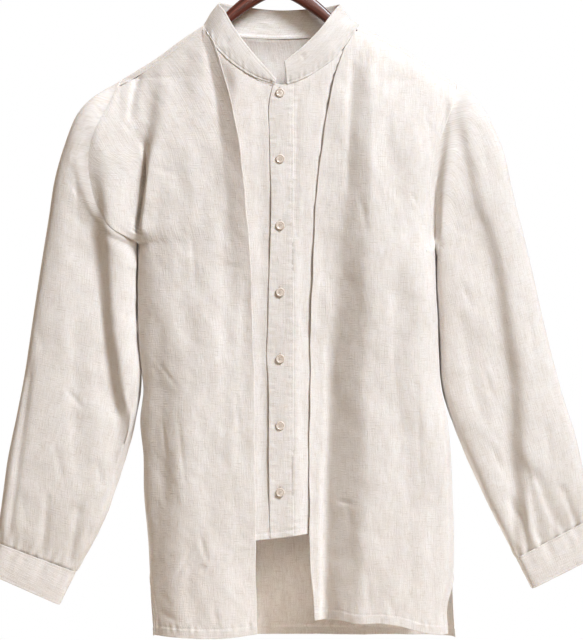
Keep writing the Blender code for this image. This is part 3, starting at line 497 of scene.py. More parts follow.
def worn_in(side, x, z):
    """Height of the tucks that run across the armhole seam, where every piece sinks and rises
    together; nothing at the underarm point itself."""
    away = np.hypot(x - ARMHOLE[side]["x"][0], z - ARMHOLE[side]["height"][0])
    return (tuck_at(TUCKS_BODY[side], x, z) + tuck_at(TUCKS_SLEEVE[side], x, z)) * ease(0.003, 0.020, away)


def on_body(side, x, z):
    """The same on the body's fronts, where the tucks die out below the underarm."""
    low = ARMHOLE[side]["height"][0]
    return worn_in(side, x, z) * ease(low - 0.030, low, z)


def armhole_rise(height, distance):
    """How far the cloth on both sides of the right armhole's lower half stands out: the sleeve's
    fullness fills the hollow along the seam, from just above the underarm to half way up."""
    low = ARMHOLE[RIGHT]["height"][0]
    share = ease(low, low + 0.014, height) * ease(low + 0.160, low + 0.050, height)
    return ARMHOLE_RISE * share * bell(distance, ARMHOLE_RISE_REACH)


def layer_inset(side, x, z):
    """How far the inner fronts lie under the outer ones: close together at every seam."""
    across = (x - CENTRE_X) / (side_x(side, z) - CENTRE_X)
    away = ease(1.0, 0.85, across) * ease(0.0, 0.035, front_top_z(side, x) - z)
    return LAYER_EDGE + (LAYER_FULL + LAYER_FOLDS * ease(0.25, 0.34, across) - LAYER_EDGE) * away


def free_edge_x(side, z):
    """An outer front's free edge: from the neck point it swings in to a nearly plumb line, and
    out again a little at the foot."""
    edge = {name: column[0] for name, column in FREE_EDGE[side].items()}
    wander = 0.0005 * np.sin(z * 41.0) + 0.0003 * np.sin(z * 113.0 + 1.0)
    return (edge["far"] + edge["swing"] * np.exp(-(NECK_TOP - z) / edge["length"])
            + edge["foot"] * ease(-0.750, -0.875, z) + wander)


# ---------------------------------------------------------------- grids and cloth walls
def normals_of(points, ring=False, flip=False):
    """Unit normals of a grid, from its differences down the rows and across the columns."""
    across = np.gradient(points, axis=1)
    if ring:
        across = (np.roll(points, -1, axis=1) - np.roll(points, 1, axis=1)) / 2.0
    normal = unit(np.cross(np.gradient(points, axis=0), across))
    return -normal if flip else normal


def unit(vectors):
    """Vectors of the same directions and of length 1."""
    return vectors / np.maximum(np.linalg.norm(vectors, axis=-1, keepdims=True), 1e-12)


def run_along(points, axis):
    """Distance run along each line of a grid, from its first point."""
    step = np.linalg.norm(np.diff(points, axis=axis), axis=-1)
    start = np.zeros_like(np.take(step, [0], axis=axis))
    return np.cumsum(np.concatenate([start, step], axis=axis), axis=axis)


def edges_of(points):
    """Distances of each grid point from the first and last row and the first and last column."""
    down, over = run_along(points, 0), run_along(points, 1)
    return down, down[-1:] - down, over, over[:, -1:] - over


def raised(points, lift, ring=False, flip=False):
    """A grid moved out along its own normals by a height at each point."""
    return points + normals_of(points, ring, flip) * lift[..., None]


def groove(distance, at, deep=0.0002, width=0.0009):
    """Relief of a sunken line, such as a row of stitches, where a distance reaches a value."""
    return -deep * bell(distance - at, width)


def seam_dip(distance, deep=0.0011):
    """Relief of a seam: the cloth rolls in over the last few millimetres."""
    return groove(distance, 0.0, deep, 0.0022)


def turned_hem(distance, width, extra=0.00055):
    """Relief of a turned hem: the fold's extra layers, and the groove where it is stitched."""
    return extra * ease(width + 0.0012, width - 0.0012, distance) + groove(distance, width, 0.0004, 0.0011)


def slit_edge(z, distance, dip):
    """Relief of the body's side: a turned hem along the slit, a seam above it."""
    slit = ease(SLIT_TOP + 0.004, SLIT_TOP - 0.004, z)
    return slit * turned_hem(distance, SLIT_HEM) + (1.0 - slit) * seam_dip(distance, dip)


def pucker(run, distance, at, rise=0.00035):
    """Puckers along a line of stitches: short uneven waves that die out on both sides of it."""
    wave = np.sin(run * 2.0 * math.pi / 0.011) + 0.7 * np.sin(run * 2.0 * math.pi / 0.0075 + 2.0)
    return rise * wave * bell(distance - at, 0.0050)


def cloth_wall(points, wall, ring, flip):
    """A closed cloth wall from its outer face: the inner face lies a wall deeper along the
    normals, and each open edge is a half round, as on folded cloth. Returns the vertices, the
    quads, each quad's places in the grid's map, and which quads are on the inner face."""
    normal = normals_of(points, ring, flip)
    rows, columns = points.shape[:2]
    count = rows * columns
    index = np.arange(count).reshape(rows, columns)
    chart = np.arange(rows * (columns + 1)).reshape(rows, columns + 1) if ring else index
    if ring:
        index = np.hstack([index, index[:, :1]])
        edges = [(index[0], chart[0]), (index[-1, ::-1], chart[-1, ::-1])]
    else:
        edges = [tuple(np.concatenate([g[0, :-1], g[:-1, -1], g[-1, :0:-1], g[::-1, 0]])
                       for g in (index, chart))]

    def quads_of(grid):
        corners = (grid[:-1, :-1], grid[1:, :-1], grid[1:, 1:], grid[:-1, 1:])
        return np.stack([corner.ravel() for corner in corners], axis=1)

    outer, chart_quads = quads_of(index), quads_of(chart)
    flat_points, flat_normal = points.reshape(-1, 3), normal.reshape(-1, 3)
    vertices = [flat_points, flat_points - wall * flat_normal]
    quads = [outer, outer[:, ::-1] + count]
    charts = [chart_quads, chart_quads[:, ::-1]]
    used = 2 * count
    for edge, chart_edge in edges:
        loop = edge[:-1]
        face = flat_normal[loop]
        tangent = flat_points[np.roll(loop, -1)] - flat_points[np.roll(loop, 1)]
        out = unit(np.cross(face, tangent) * (-1.0 if flip else 1.0))
        middle = flat_points[loop] - face * wall / 2.0
        strips = [loop]
        for turn in math.pi * np.array((0.25, 0.5, 0.75)):
            vertices.append(middle + wall / 2.0 * (math.cos(turn) * face + math.sin(turn) * out))
            strips.append(np.arange(used, used + len(loop)))
            used += len(loop)
        strips.append(loop + count)
        chart_strip = np.stack([chart_edge[:-1], chart_edge[1:], chart_edge[1:], chart_edge[:-1]], axis=1)
        for first, second in zip(strips[:-1], strips[1:]):
            quads.append(np.stack([first, np.roll(first, -1), np.roll(second, -1), second], axis=1))
            charts.append(chart_strip)
    inner = np.concatenate([np.full(len(q), i == 1) for i, q in enumerate(quads)])
    quads, charts = np.concatenate(quads), np.concatenate(charts)
    if flip:
        quads, charts = quads[:, ::-1], charts[:, ::-1]
    return np.concatenate(vertices), quads, charts, inner


def new_piece(name, vertices, faces, materials, nodes=(), finish="linen"):
    """A mesh object from arrays, at the origin, riding on the body and standing for its nodes."""
    mesh = bpy.data.meshes.new(name)
    mesh.from_pydata(np.asarray(vertices).tolist(), [], faces)
    mesh.update()
    mesh.shade_smooth()
    for material in materials:
        mesh.materials.append(material_of(material))
    piece = bpy.data.objects.new(name, mesh)
    bpy.context.scene.collection.objects.link(piece)
    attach(piece, "root")
    if nodes:
        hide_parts(*nodes)
    return piece


def add_map(piece, name, places):
    """A UV map from a place for each corner of each face, in the order of the faces."""
    layer = piece.data.uv_layers.new(name=name)
    layer.data.foreach_set("uv", places.astype(np.float32).ravel())


def cloth_piece(name, points, chart, ring=False, flip=False, wall=None, face="linen"):
    """A cloth piece that stands for the CAD node of its name: a wall on a grid, with its own map
    in metres."""
    wall = wall or bpy.context.scene.jacket_sizes.cloth
    vertices, quads, chart_quads, inner = cloth_wall(points, wall, ring, flip)
    # The inner faces take the paler linen, painted light for the garment's shaded inside.
    piece = new_piece("linen_" + name, vertices, quads.tolist(), [face, "linen_inside"], [name])
    piece.data.polygons.foreach_set("material_index", inner.astype(np.int32))
    add_map(piece, "cloth", chart.reshape(-1, 2)[chart_quads.ravel()])


def chart_of(points, shift):
    """A cloth map in metres: across is the run along the rows, down is the height."""
    across = points[:, :1, 0] + run_along(points, 1)
    return np.stack([across + shift, points[..., 2] + 0.37 * shift], axis=-1)


# ---------------------------------------------------------------- stitches
def line_at(points, measure, distance, axis=0, flip=False, ring=False):
    """The line on a grid where a measure that grows along an axis reaches a distance: one point
    on each column (axis 0) or row (axis 1), and the surface's normal there."""
    normal = normals_of(points, ring, flip)
    if axis == 1:
        points, normal, measure = (np.swapaxes(a, 0, 1) for a in (points, normal, measure))
    at = np.clip((measure >= distance).argmax(axis=0), 1, len(measure) - 1)
    columns = np.arange(points.shape[1])
    before, after = measure[at - 1, columns], measure[at, columns]
    t = np.clip((distance - before) / np.where(after == before, 1.0, after - before), 0.0, 1.0)[:, None]
    place = points[at - 1, columns] * (1 - t) + points[at, columns] * t
    return place, unit(normal[at - 1, columns] * (1 - t) + normal[at, columns] * t)


# The rings along a stitch: where on its length, how thick, and how high.
STITCH_RINGS = ((-0.5, 0.55, -0.7), (-0.22, 1.0, 0.35), (0.22, 1.0, 0.35), (0.5, 0.55, -0.7))


def sewn_lines(name, lines):
    """Stitches along lines on the cloth: each is a short thread whose middle lies on the surface
    and whose ends dip into it, a thread's width thick, spaced evenly by the length of the line."""
    sizes = bpy.context.scene.jacket_sizes
    long, pitch, radius = sizes.stitch_length, sizes.stitch_length + sizes.stitch_gap, sizes.thread / 2.0
    count = 5
    turns = np.linspace(0.0, 2.0 * math.pi, count, endpoint=False)[None, :, None]
    vertices, faces, used = [], [], 0
    for place, facing in lines:
        run = np.concatenate([[0.0], np.cumsum(np.linalg.norm(np.diff(place, axis=0), axis=1))])
        centres = np.arange(pitch, run[-1] - pitch, pitch)

        def at(distance, values):
            return np.stack([np.interp(distance, run, values[:, k]) for k in range(3)], axis=-1)

        tangent = unit(at(centres + long / 2, place) - at(centres - long / 2, place))
        normal = at(centres, facing)
        side = np.cross(tangent, normal)
        for share, swell, height in STITCH_RINGS:
            centre = at(centres + share * long, place) + normal * height * radius
            ring = np.cos(turns) * normal[:, None] + np.sin(turns) * side[:, None]
            vertices.append((centre[:, None] + radius * swell * ring).reshape(-1, 3))
        index = used + np.arange(4 * len(centres) * count).reshape(4, len(centres), count)
        around = np.roll(index, -1, axis=2)
        quads = np.stack([around[:-1], around[1:], index[1:], index[:-1]], axis=-1).reshape(-1, 4)
        faces += quads.tolist() + index[0][:, ::-1].tolist() + index[3].tolist()
        used += index.size
    new_piece(name, np.concatenate(vertices), faces, ["thread"])


# ---------------------------------------------------------------- materials
MADE = {}


def linear(code):
    """Linear RGB of an sRGB hex colour."""
    parts = [int(code[i:i + 2], 16) / 255.0 for i in (1, 3, 5)]
    return tuple(c / 12.92 if c <= 0.04045 else ((c + 0.055) / 1.055) ** 2.4 for c in parts)


def node(tree, kind, links=None, **settings):
    """Add a node: settings are its properties, or the constants of its inputs by name or number;
    links says which socket feeds each input, as (node, output)."""
    made = tree.nodes.new(kind)
    for name, value in settings.items():
        if name == "inputs":
            for key, constant in value.items():
                made.inputs[key].default_value = constant
        elif name == "stops":
            for element, (at, colour) in zip(made.color_ramp.elements, value):
                element.position = at
                element.color = (*colour, 1.0)
        else:
            setattr(made, name, value)
    for key, (source, output) in (links or {}).items():
        tree.links.new(source.outputs[output], made.inputs[key])
    return made


def feed(tree, socket, kind, links, **settings):
    """Add a node whose first output feeds a socket of the material's shader."""
    made = node(tree, kind, links, **settings)
    tree.links.new(made.outputs[0], tree.nodes["Principled BSDF"].inputs[socket])


def start_material(name, roughness, **constants):
    """A material with a Principled shader whose plain values sit on its own sockets."""
    material = bpy.data.materials.new(name)
    material.use_nodes = True
    inputs = material.node_tree.nodes["Principled BSDF"].inputs
    inputs["Roughness"].default_value = roughness
    for socket, value in constants.items():
        inputs[socket.replace("_", " ")].default_value = value
    return material, material.node_tree


def linen_material(name, pale, dark, lift):
    """Plain-woven linen, washed, not ironed: uneven flax threads give fine streaks both ways, with
    longer slubs, over a soft mottle; the nap gives a faint sheen and no gloss. Thread streaks are
    drawn over 1 mm wide, about twice the real spacing, so that they show."""
    material, tree = start_material(name, 0.88, Sheen_Weight=0.08, Sheen_Roughness=0.55,
                                    Specular_IOR_Level=0.22, Subsurface_Weight=0.30,
                                    Subsurface_Radius=(1.0, 0.70, 0.45), Subsurface_Scale=0.0010)
    cloth = node(tree, "ShaderNodeUVMap", uv_map="cloth")

    def threads(across, down, detail):
        """Noise in streaks of a width across and a length down the cloth, in millimetres."""
        stretch = node(tree, "ShaderNodeMapping", {"Vector": (cloth, "UV")},
                       inputs={"Scale": (1000.0 / across, 1000.0 / down, 1.0)})
        return node(tree, "ShaderNodeTexNoise", {"Vector": (stretch, "Vector")}, noise_dimensions="2D",
                    inputs={"Scale": 1.0, "Detail": detail, "Roughness": 0.55}), "Fac"

    def times_plus(value, factor, added):
        """One value times a factor, plus another value."""
        return node(tree, "ShaderNodeMath", {0: value, 2: added}, operation="MULTIPLY_ADD",
                    inputs={1: factor}), 0

    def thick(across, down):
        """Slubs: the tops of the noise alone."""
        return node(tree, "ShaderNodeMapRange", {"Value": threads(across, down, 1.0)},
                    inputs={"From Min": 0.62, "From Max": 0.76}), 0

    both = times_plus(threads(11.0, 1.2, 2.0), 0.6, threads(1.3, 22.0, 2.0))
    fine = times_plus(threads(1.2, 1.2, 2.0), 1.4, both)
    slubs = node(tree, "ShaderNodeMath", {0: thick(1.8, 14.0), 1: thick(14.0, 1.6)}, operation="ADD"), 0
    tone = times_plus(slubs, -0.45, times_plus(threads(12.0, 30.0, 4.0), 0.9, fine))
    level = node(tree, "ShaderNodeMapRange", {"Value": tone}, inputs={"From Min": 1.35, "From Max": 2.45})
    feed(tree, "Base Color", "ShaderNodeValToRGB", {"Fac": (level, 0)},
         stops=((0.0, linear(dark)), (1.0, linear(pale))))
    weave = node(tree, "ShaderNodeBump", {"Height": times_plus(slubs, 0.45, both)},
                 inputs={"Strength": lift, "Distance": 0.00045})
    feed(tree, "Normal", "ShaderNodeBump", {"Height": threads(9.0, 13.0, 3.0), "Normal": (weave, "Normal")},
         inputs={"Strength": 0.25, "Distance": 0.0011})
    return material


def thread_material():
    """Cotton sewing thread, matt, with painted shade in the grooves of its twist: fine diagonal
    bands half a millimetre apart.
    """
    material, tree = start_material("cotton_thread", 0.85, Sheen_Weight=0.15)
    place = node(tree, "ShaderNodeTexCoord")
    twist_shade = node(tree, "ShaderNodeTexWave", {"Vector": (place, "Object")}, bands_direction="DIAGONAL",
                 inputs={"Scale": 600.0, "Distortion": 0.4})
    # The darker stop is painted shade in the grooves of the twist.
    feed(tree, "Base Color", "ShaderNodeValToRGB", {"Fac": (twist_shade, "Fac")},
         stops=((0.0, linear("#C4B9AD")), (1.0, tuple(bpy.context.scene.jacket_colours.thread))))
    return material


def shell_material():
    """Polished trochus shell: a warm pearly body with soft cloudy bands and a clear gloss."""
    material, tree = start_material("polished_shell", 0.28, Coat_Weight=0.45, Coat_Roughness=0.12)
    place = node(tree, "ShaderNodeTexCoord")
    cloud = node(tree, "ShaderNodeTexNoise", {"Vector": (place, "Object")},
                 inputs={"Scale": 260.0, "Detail": 3.0, "Distortion": 0.8})
    feed(tree, "Base Color", "ShaderNodeValToRGB", {"Fac": (cloud, "Fac")},
         stops=((0.25, linear("#CDB8A6")), (0.75, tuple(bpy.context.scene.jacket_colours.button))))
    return material


def wood_material():
    """Beech stained dark red-brown under satin lacquer: long grain lines about 1 mm apart that
    follow each arm, a little lighter where the grain stands."""
    material, tree = start_material("stained_beech", 0.34, Coat_Weight=0.35, Coat_Roughness=0.22)
    colours = bpy.context.scene.jacket_colours
    grain_map = node(tree, "ShaderNodeUVMap", uv_map="grain")
    stretch = node(tree, "ShaderNodeMapping", {"Vector": (grain_map, "UV")},
                   inputs={"Scale": (1000.0 / 60.0, 1000.0 / 1.6, 1.0)})
    grain = node(tree, "ShaderNodeTexNoise", {"Vector": (stretch, "Vector")}, noise_dimensions="2D",
                 inputs={"Scale": 1.0, "Detail": 5.0, "Distortion": 0.5})
    feed(tree, "Base Color", "ShaderNodeValToRGB", {"Fac": (grain, "Fac")},
         stops=((0.30, tuple(colours.wood_dark)), (0.72, tuple(colours.wood))))
    feed(tree, "Normal", "ShaderNodeBump", {"Height": (grain, "Fac")},
         inputs={"Strength": 0.25, "Distance": 0.0004})
    return material


def steel_material():
    """Steel wire plated with bright nickel, drawn, so its gloss varies in fine specks."""
    material, tree = start_material("plated_steel", 0.18, Metallic=1.0,
                                    Base_Color=(*bpy.context.scene.jacket_colours.steel, 1.0))
    place = node(tree, "ShaderNodeTexCoord")
    specks = node(tree, "ShaderNodeTexNoise", {"Vector": (place, "Object")},
                  inputs={"Scale": 900.0, "Detail": 2.0})
    feed(tree, "Roughness", "ShaderNodeMapRange", {"Value": (specks, "Fac")},
         inputs={"To Min": 0.12, "To Max": 0.30})
    return material


FINISHES = {"linen": (linen_material, "linen", "#EBE6E2", "#D9D1C9", 0.50),
            "linen_double": (linen_material, "linen_double", "#E3DEDA", "#D0C8C0", 0.40),
            # The inner faces' linen is paler: painted light for the garment's shaded inside.
            "linen_inside": (linen_material, "linen_inside", "#FAF6F2", "#E2DAD2", 0.45),
            "thread": (thread_material,), "shell": (shell_material,), "wood": (wood_material,),
            "steel": (steel_material,)}


def material_of(name):
    """A named finish, made once. The collar's double cloth is a little greyer, and the inner
    faces are paler: painted light, standing in for the light that reaches the garment's inside."""
    if name not in MADE:
        make, *values = FINISHES[name]
        MADE[name] = make(*values)
    return MADE[name]


# ---------------------------------------------------------------- the panels
def front_panel(side, start_x, hem, length, under=lambda x, z: np.zeros_like(x), fine_end=0.010):
    """A front panel's plain form: columns from its inner edge to the side, rows from the top edge
    to the hem. Returns its points and each point's share across."""
    across = shares(FRONT_WIDTH, 0.014, fine_end)[None, :]
    rows = shares(length, 0.016, 0.016)[:, None]
    x = CENTRE_X + side * FIRST_HALF * across * np.ones_like(rows)
    z = NECK_TOP - rows * length * np.ones_like(x)
    for _ in range(SETTLING_STEPS):
        inset = under(x, z)
        top = front_top_z(side, x[:1]) - inset[:1]
        z = top + (along(hem, "x", "height", x[-1:]) - top) * rows
        slit = ease(SLIT_TOP + 0.004, SLIT_TOP - 0.045, z) * SLIT_PULL[side]
        start = start_x(z)
        x = start + (side_x(side, z) - side * (inset + slit) - start) * across
    y = -depth(side, x, z, inset) - on_body(side, x, z)
    return np.stack([x, y, z], axis=-1), across


def flare_at(x, z):
    """Height of the flare beside the right front's free edge."""
    fold_x, edge_x = along(FLARE, "height", "fold_x", z), free_edge_x(RIGHT, z)
    return along(FLARE, "height", "lift", z) * np.clip((x - fold_x) / (edge_x - fold_x), 0.0, 1.0) ** 1.15


def outer_front_points(side):
    """One long open front: folds, creases, the flare beside the right free edge, turned hems at
    the foot and the slit, and a faint step where the hidden facing ends."""
    right = side == RIGHT
    points, across = front_panel(side, lambda z: free_edge_x(side, z), HEM_OUTER[side], FRONT_LENGTH,
                                 fine_end=0.075 if right else 0.040)
    x, z = points[..., 0], points[..., 2]
    top, foot, _, sewn = edges_of(points)
    lift = folds_at(FOLDS_OUTER[side], x, z) + creases_at(CREASES_OUTER[side], x, z)
    lift += crumple(x, z, 11 if right else 12) * ease(0.0, 0.02, top)
    if right:
        points[..., 1] -= armhole_rise(z, sewn)
    else:
        lift += roll_at(x, z)
    lift *= ease(1.0, 0.93, across)
    if right:
        lift += flare_at(x, z) + 0.0005 * bell(z - FACING_END, 0.0022) * ease(-0.056, -0.048, x)
    lift += turned_hem(foot, BODY_HEM) + pucker(x, foot, BODY_HEM)
    lift += slit_edge(z, sewn, 0.0003) + seam_dip(top)
    return raised(points, lift, flip=right)


def inner_front_points(side):
    """One short front with the neckline, lying under the outer front."""
    right = side == RIGHT
    edge = CENTRE_X - 0.013 + UNDERLAP if right else BAND_EDGE - 0.001

    def under(x, z):
        return layer_inset(side, x, z) + (UNDERLAP_DROP * ease(-0.032, -0.016, x) if right else 0.0)

    points, across = front_panel(side, lambda z: np.full_like(z, edge), HEM_INNER, INNER_LENGTH, under)
    x, z = points[..., 0], points[..., 2]
    top, foot, free, _ = edges_of(points)
    lift = folds_at(FOLDS_INNER, x, z) + crumple(x, z, 21 if right else 22, 0.55) - sunk_at(side, x, z)
    lift *= ease(1.0, 0.93, across) * ease(0.0, 0.03, top)
    # The cloth dips in a narrow groove beside the edge that lies on it.
    edge_x = along(BAND_FREE_EDGE, "height", "x", z) + 0.0005 if right else free_edge_x(LEFT, z) - 0.0003
    lift += groove(x, edge_x, 0.0034, 0.0008)
    lift += turned_hem(foot, INNER_HEM, 0.0004) + pucker(x, foot, INNER_HEM, 0.0003)
    if not right:
        lift += seam_dip(free, 0.0007) + pucker(z, free, 0.004, 0.00022)
    return raised(points, lift, flip=right)


def band_points():
    """The folded strip with the buttonholes: its free edge wanders, and pulls in at each button."""
    rows = shares(BAND_LENGTH, 0.004, 0.012, coarse=0.0022)[:, None]
    across = np.linspace(0.0, 1.0, 27)[None, :]
    guess = np.linspace(-0.010, BAND_EDGE, 27)[None, :]
    top = front_top_z(LEFT, guess) - LAYER_EDGE + 0.0015
    z = top + (along(HEM_INNER, "x", "height", guess) - top) * rows
    start = along(BAND_FREE_EDGE, "height", "x", z)
    x = start + (BAND_EDGE - start) * across
    y = -depth(LEFT, x, z, layer_inset(LEFT, x, z)) - 0.0004
    points = np.stack([x, y, z], axis=-1)
    top, foot, free, sewn = edges_of(points)
    lift = crumple(x, z, 31, 0.45) * ease(0.0, 0.02, top) + turned_hem(foot, INNER_HEM, 0.0004)
    lift += pucker(z, free, 0.0030, 0.00022) + pucker(z + 0.01, sewn, 0.0030, 0.00022)
    lift += groove(sewn, EDGE_STITCH) + seam_dip(sewn, 0.0003)
    for i in range(BUTTON_COUNT):
        lift += groove(np.hypot(x - CENTRE_X, z - BUTTON_TOP + i * BUTTON_STEP), 0.0, 0.0009, 0.0075)
    return raised(points, lift)


def back_form():
    """The back's plain form: it starts at the seams in front of the shoulders, turns over them and
    falls to its hem. Inside the neck points it starts at the back neckline."""
    # Rows close together under the crest and at the hem.
    drop = np.concatenate([0.030 * np.linspace(0.0, 1.0, 15) ** 2, 0.030 + 0.0032 * np.arange(1, 227)])
    drop = np.concatenate([drop, np.arange(drop[-1] + 0.0015, BACK_LENGTH, 0.0012)])
    rows = (drop / drop[-1])[:, None]
    halves = []
    for side in WORDS:
        neck = NECK_HALF / abs(ARMHOLE[side]["x"][-1] - CENTRE_X)
        columns = np.concatenate([np.linspace(0.0, neck - 0.004, 24),
                                  neck + (1.0 - neck) * shares(SHOULDER_WIDTH, 0.004, 0.010)])[None, :]
        x = CENTRE_X + side * FIRST_HALF * columns * np.ones_like(rows)
        z = NECK_TOP - rows * BACK_LENGTH * np.ones_like(x)
        for _ in range(SETTLING_STEPS):
            shoulder = np.clip(np.abs(x[:1] - CENTRE_X) / NECK_HALF, 0.0, 1.0) >= 0.9995
            crest = np.where(shoulder, shoulder_z(side, x[:1]), back_neckline_z(x[:1]) - NECK_LAP)
            z = crest + (along(HEM_BACK, "x", "height", x[-1:]) - crest) * rows
            x = CENTRE_X + (back_side_x(side, z) - CENTRE_X) * columns
        strips = []
        for share in np.linspace(-1.0, 0.0, ROWS_OVER + 1)[:-1]:
            strip_z = np.where(shoulder[0], shoulder_z(side, x[0]) - SHOULDER_SEAM_DROP * share ** 2,
                               back_neckline_z(x[0]) + 0.0001 * share)
            strip_x = CENTRE_X + (side_x(side, strip_z) - CENTRE_X) * columns[0]
            strip_x = np.where(shoulder[0], strip_x, x[0])
            front, behind = -depth(side, strip_x, strip_z), depth(side, x[0], strip_z, behind=True)
            strips.append(np.stack([strip_x, np.where(shoulder[0], front, behind), strip_z], axis=-1))
        below = np.stack([x, depth(side, x, z, behind=True), z], axis=-1)
        halves.append(np.concatenate([np.stack(strips), below], axis=0))
    return np.concatenate([halves[0][:, :0:-1], halves[1]], axis=1)


def back_points():
    """The back with its folds, creases, turned hem, slit edges and seam dips."""
    points = back_form()
    x, z = points[..., 0], points[..., 2]
    top, foot, first, last = edges_of(points)
    side_run = np.minimum(first, last)
    lift = folds_at(FOLDS_BACK, x, z) + creases_at(CREASES_BACK, x, z) + crumple(x, z, 41)
    lift *= ease(0.0, 0.030, side_run) * ease(0.02, 0.06, top)
    lift[:ROWS_OVER] = 0.0
    lift += turned_hem(foot, BODY_HEM) + pucker(x, foot, BODY_HEM) + slit_edge(z, side_run, 0.0011)
    inside = ease(NECK_HALF, NECK_HALF - 0.012, np.abs(x - CENTRE_X))
    lift += seam_dip(top, 0.0006) + 0.0008 * inside * ease(0.006, 0.001, top)
    return raised(points, lift, flip=True)


# ---------------------------------------------------------------- collar, sleeves and cuffs
def collar_points():
    """The band collar: one strip round the neckline, from its top edge to its seam, sitting over
    the panels' edges. It bows out slightly between its two lines of stitches."""
    seam = []
    for x, behind in zip(COLLAR["seam_x"], COLLAR["behind"]):
        side = RIGHT if x < CENTRE_X else LEFT
        z = (back_neckline_z(x) if behind else neckline_z(x)) - NECK_LAP
        y = depth(side, x, z, 0.0 if behind else LAYER_EDGE, behind=bool(behind)) + 0.0013
        seam.append((x, y if behind else -y, z))
    rows = dict(COLLAR, **dict(zip(("low_x", "low_y", "low_z"), np.array(seam).T)))
    t = shares(COLLAR_LENGTH, 0.012, 0.012, 0.0009, 0.0024)
    low, high = (np.stack([along(rows, "t", edge + axis, t) for axis in "xyz"], axis=-1)
                 for edge in ("low_", "top_"))
    share = shares(COLLAR_HEIGHT, 0.005, 0.005, 0.0007, 0.0018)[:, None, None]
    points = high + (low - high) * share
    x, z = points[..., 0], points[..., 2]
    top, foot, _, _ = edges_of(points)
    lift = 0.0010 * np.sin(math.pi * share[..., 0]) + crumple(x, z, 51, 0.5) + groove(top, EDGE_STITCH)
    lift += groove(foot, COLLAR_FOOT_STITCH, 0.00045) + pucker(x * 1.3, foot, 0.003, 0.0003)
    # Beside the left neck point the foot laps over the end of the shoulder seam.
    lift += 0.0028 * ease(0.091, 0.095, points[-1:, :, 0]) * ease(0.014, 0.0, foot)
    return raised(points, lift + creases_at(CREASES_COLLAR, x, z), flip=True)


def section(angle, outer, inner):
    """A flattened round section, evenly spaced: the place across it, from 1 at the outer edge to
    -1 at the inner one, and the bulge, 1 in front and -1 behind. A quarter of it follows
    |place|^power + |bulge|^power = 1; each row has a power for its outer and its inner quarters."""
    turn = np.linspace(0.0, math.pi / 2, 400)
    place, bulge = (np.empty((len(outer), angle.shape[1])) for _ in range(2))
    for row, powers in enumerate(zip(outer[:, 0], inner[:, 0])):
        for power, sign in zip(powers, (1.0, -1.0)):
            over, out = np.cos(turn) ** (2.0 / power), np.sin(turn) ** (2.0 / power)
            run = np.concatenate([[0.0], np.cumsum(np.hypot(np.diff(over), 0.6 * np.diff(out)))])
            share = np.abs(np.arcsin(np.sin(angle[0]))) / (math.pi / 2) * run[-1]
            mine = np.cos(angle[0]) * sign >= 0.0
            place[row, mine] = sign * np.interp(share, run, over)[mine]
            bulge[row, mine] = (np.interp(share, run, out) * np.sign(np.sin(angle[0])))[mine]
    return place, bulge


def ring_angles():
    """Angles round a sleeve: 0 at the outer outline, a quarter turn in front, a half turn inside."""
    return np.linspace(0.0, 2.0 * math.pi, SLEEVE_COLUMNS, endpoint=False)[None, :]


def ring_points(rings, down, angle, flat):
    """Rings of a sleeve or cuff: each spans its outer and inner outline and bulges to its depth,
    as round as the armhole where flat is 0 and as flat as the sleeve's middle where it is 1."""
    value = row_at(rings, "down", down)
    place, bulge = section(angle, 2.0 + (SLEEVE_POWER - 2.0) * flat,
                           UNDERARM_POWER + (SLEEVE_POWER - UNDERARM_POWER) * flat)
    across = (1.0 + place) / 2.0
    x = value["in_x"] + (value["out_x"] - value["in_x"]) * across
    z = value["in_z"] + (value["out_z"] - value["in_z"]) * across
    y = -value["depth"] * np.where(np.sin(angle) < 0.0, BACK_SHARE, 1.0) * bulge
    return np.stack([x, y, z], axis=-1)


def sleeve_points(side):
    """A sleeve: its first ring is the armhole seam, it straightens to plain rings below, folds lie
    on its front and back halves, and small pleats gather it into the cuff."""
    down = shares(SLEEVE_LENGTH, 0.014, 0.030)[:, None]
    angle = ring_angles()
    points = ring_points(SLEEVE[side], down, angle, ease(0.0, 0.12, down) * ease(1.15, 0.85, down))
    armhole = points[:1, :, 2]
    seam_x = np.where(np.sin(angle) > 0.0, side_x(side, armhole), back_side_x(side, armhole))
    points[..., 0] += (seam_x - points[:1, :, 0]) * (1.0 - ease(0.0, 0.45, down))
    x, z = points[..., 0], points[..., 2]
    facing, away = ease(0.0, 0.35, np.sin(angle)), ease(0.0, 0.35, -np.sin(angle))
    points[..., 1] -= worn_in(side, x, z) * facing
    top, foot, _, _ = edges_of(points)
    if side == RIGHT:
        points[..., 1] -= armhole_rise(armhole, top) * ease(-0.05, 0.06, np.sin(angle))
    front = folds_at(FOLDS_SLEEVE[side], x, z) + creases_at(CREASES_SLEEVE[side], x, z)
    wave = crumple(np.broadcast_to(angle * 0.035, z.shape), z, 61 if side == RIGHT else 62)
    # The waves die out at the outer outline, where the ring's angle starts again.
    wave *= ease(0.0, 0.3, 0.5 - 0.5 * np.cos(angle))
    lift = (front * facing + folds_at(FOLDS_SLEEVE_BACK[side], x, z) * away + wave) * ease(0.0, 0.025, top)
    gathers = np.sin(angle * 19.0) + 0.6 * np.sin(angle * 31.0 + 1.0)
    lift += 0.0007 * gathers * ease(0.030, 0.004, foot)
    lift += seam_dip(top, 0.0003) + seam_dip(foot, 0.0008)
    return raised(points, lift, ring=True, flip=side == LEFT)


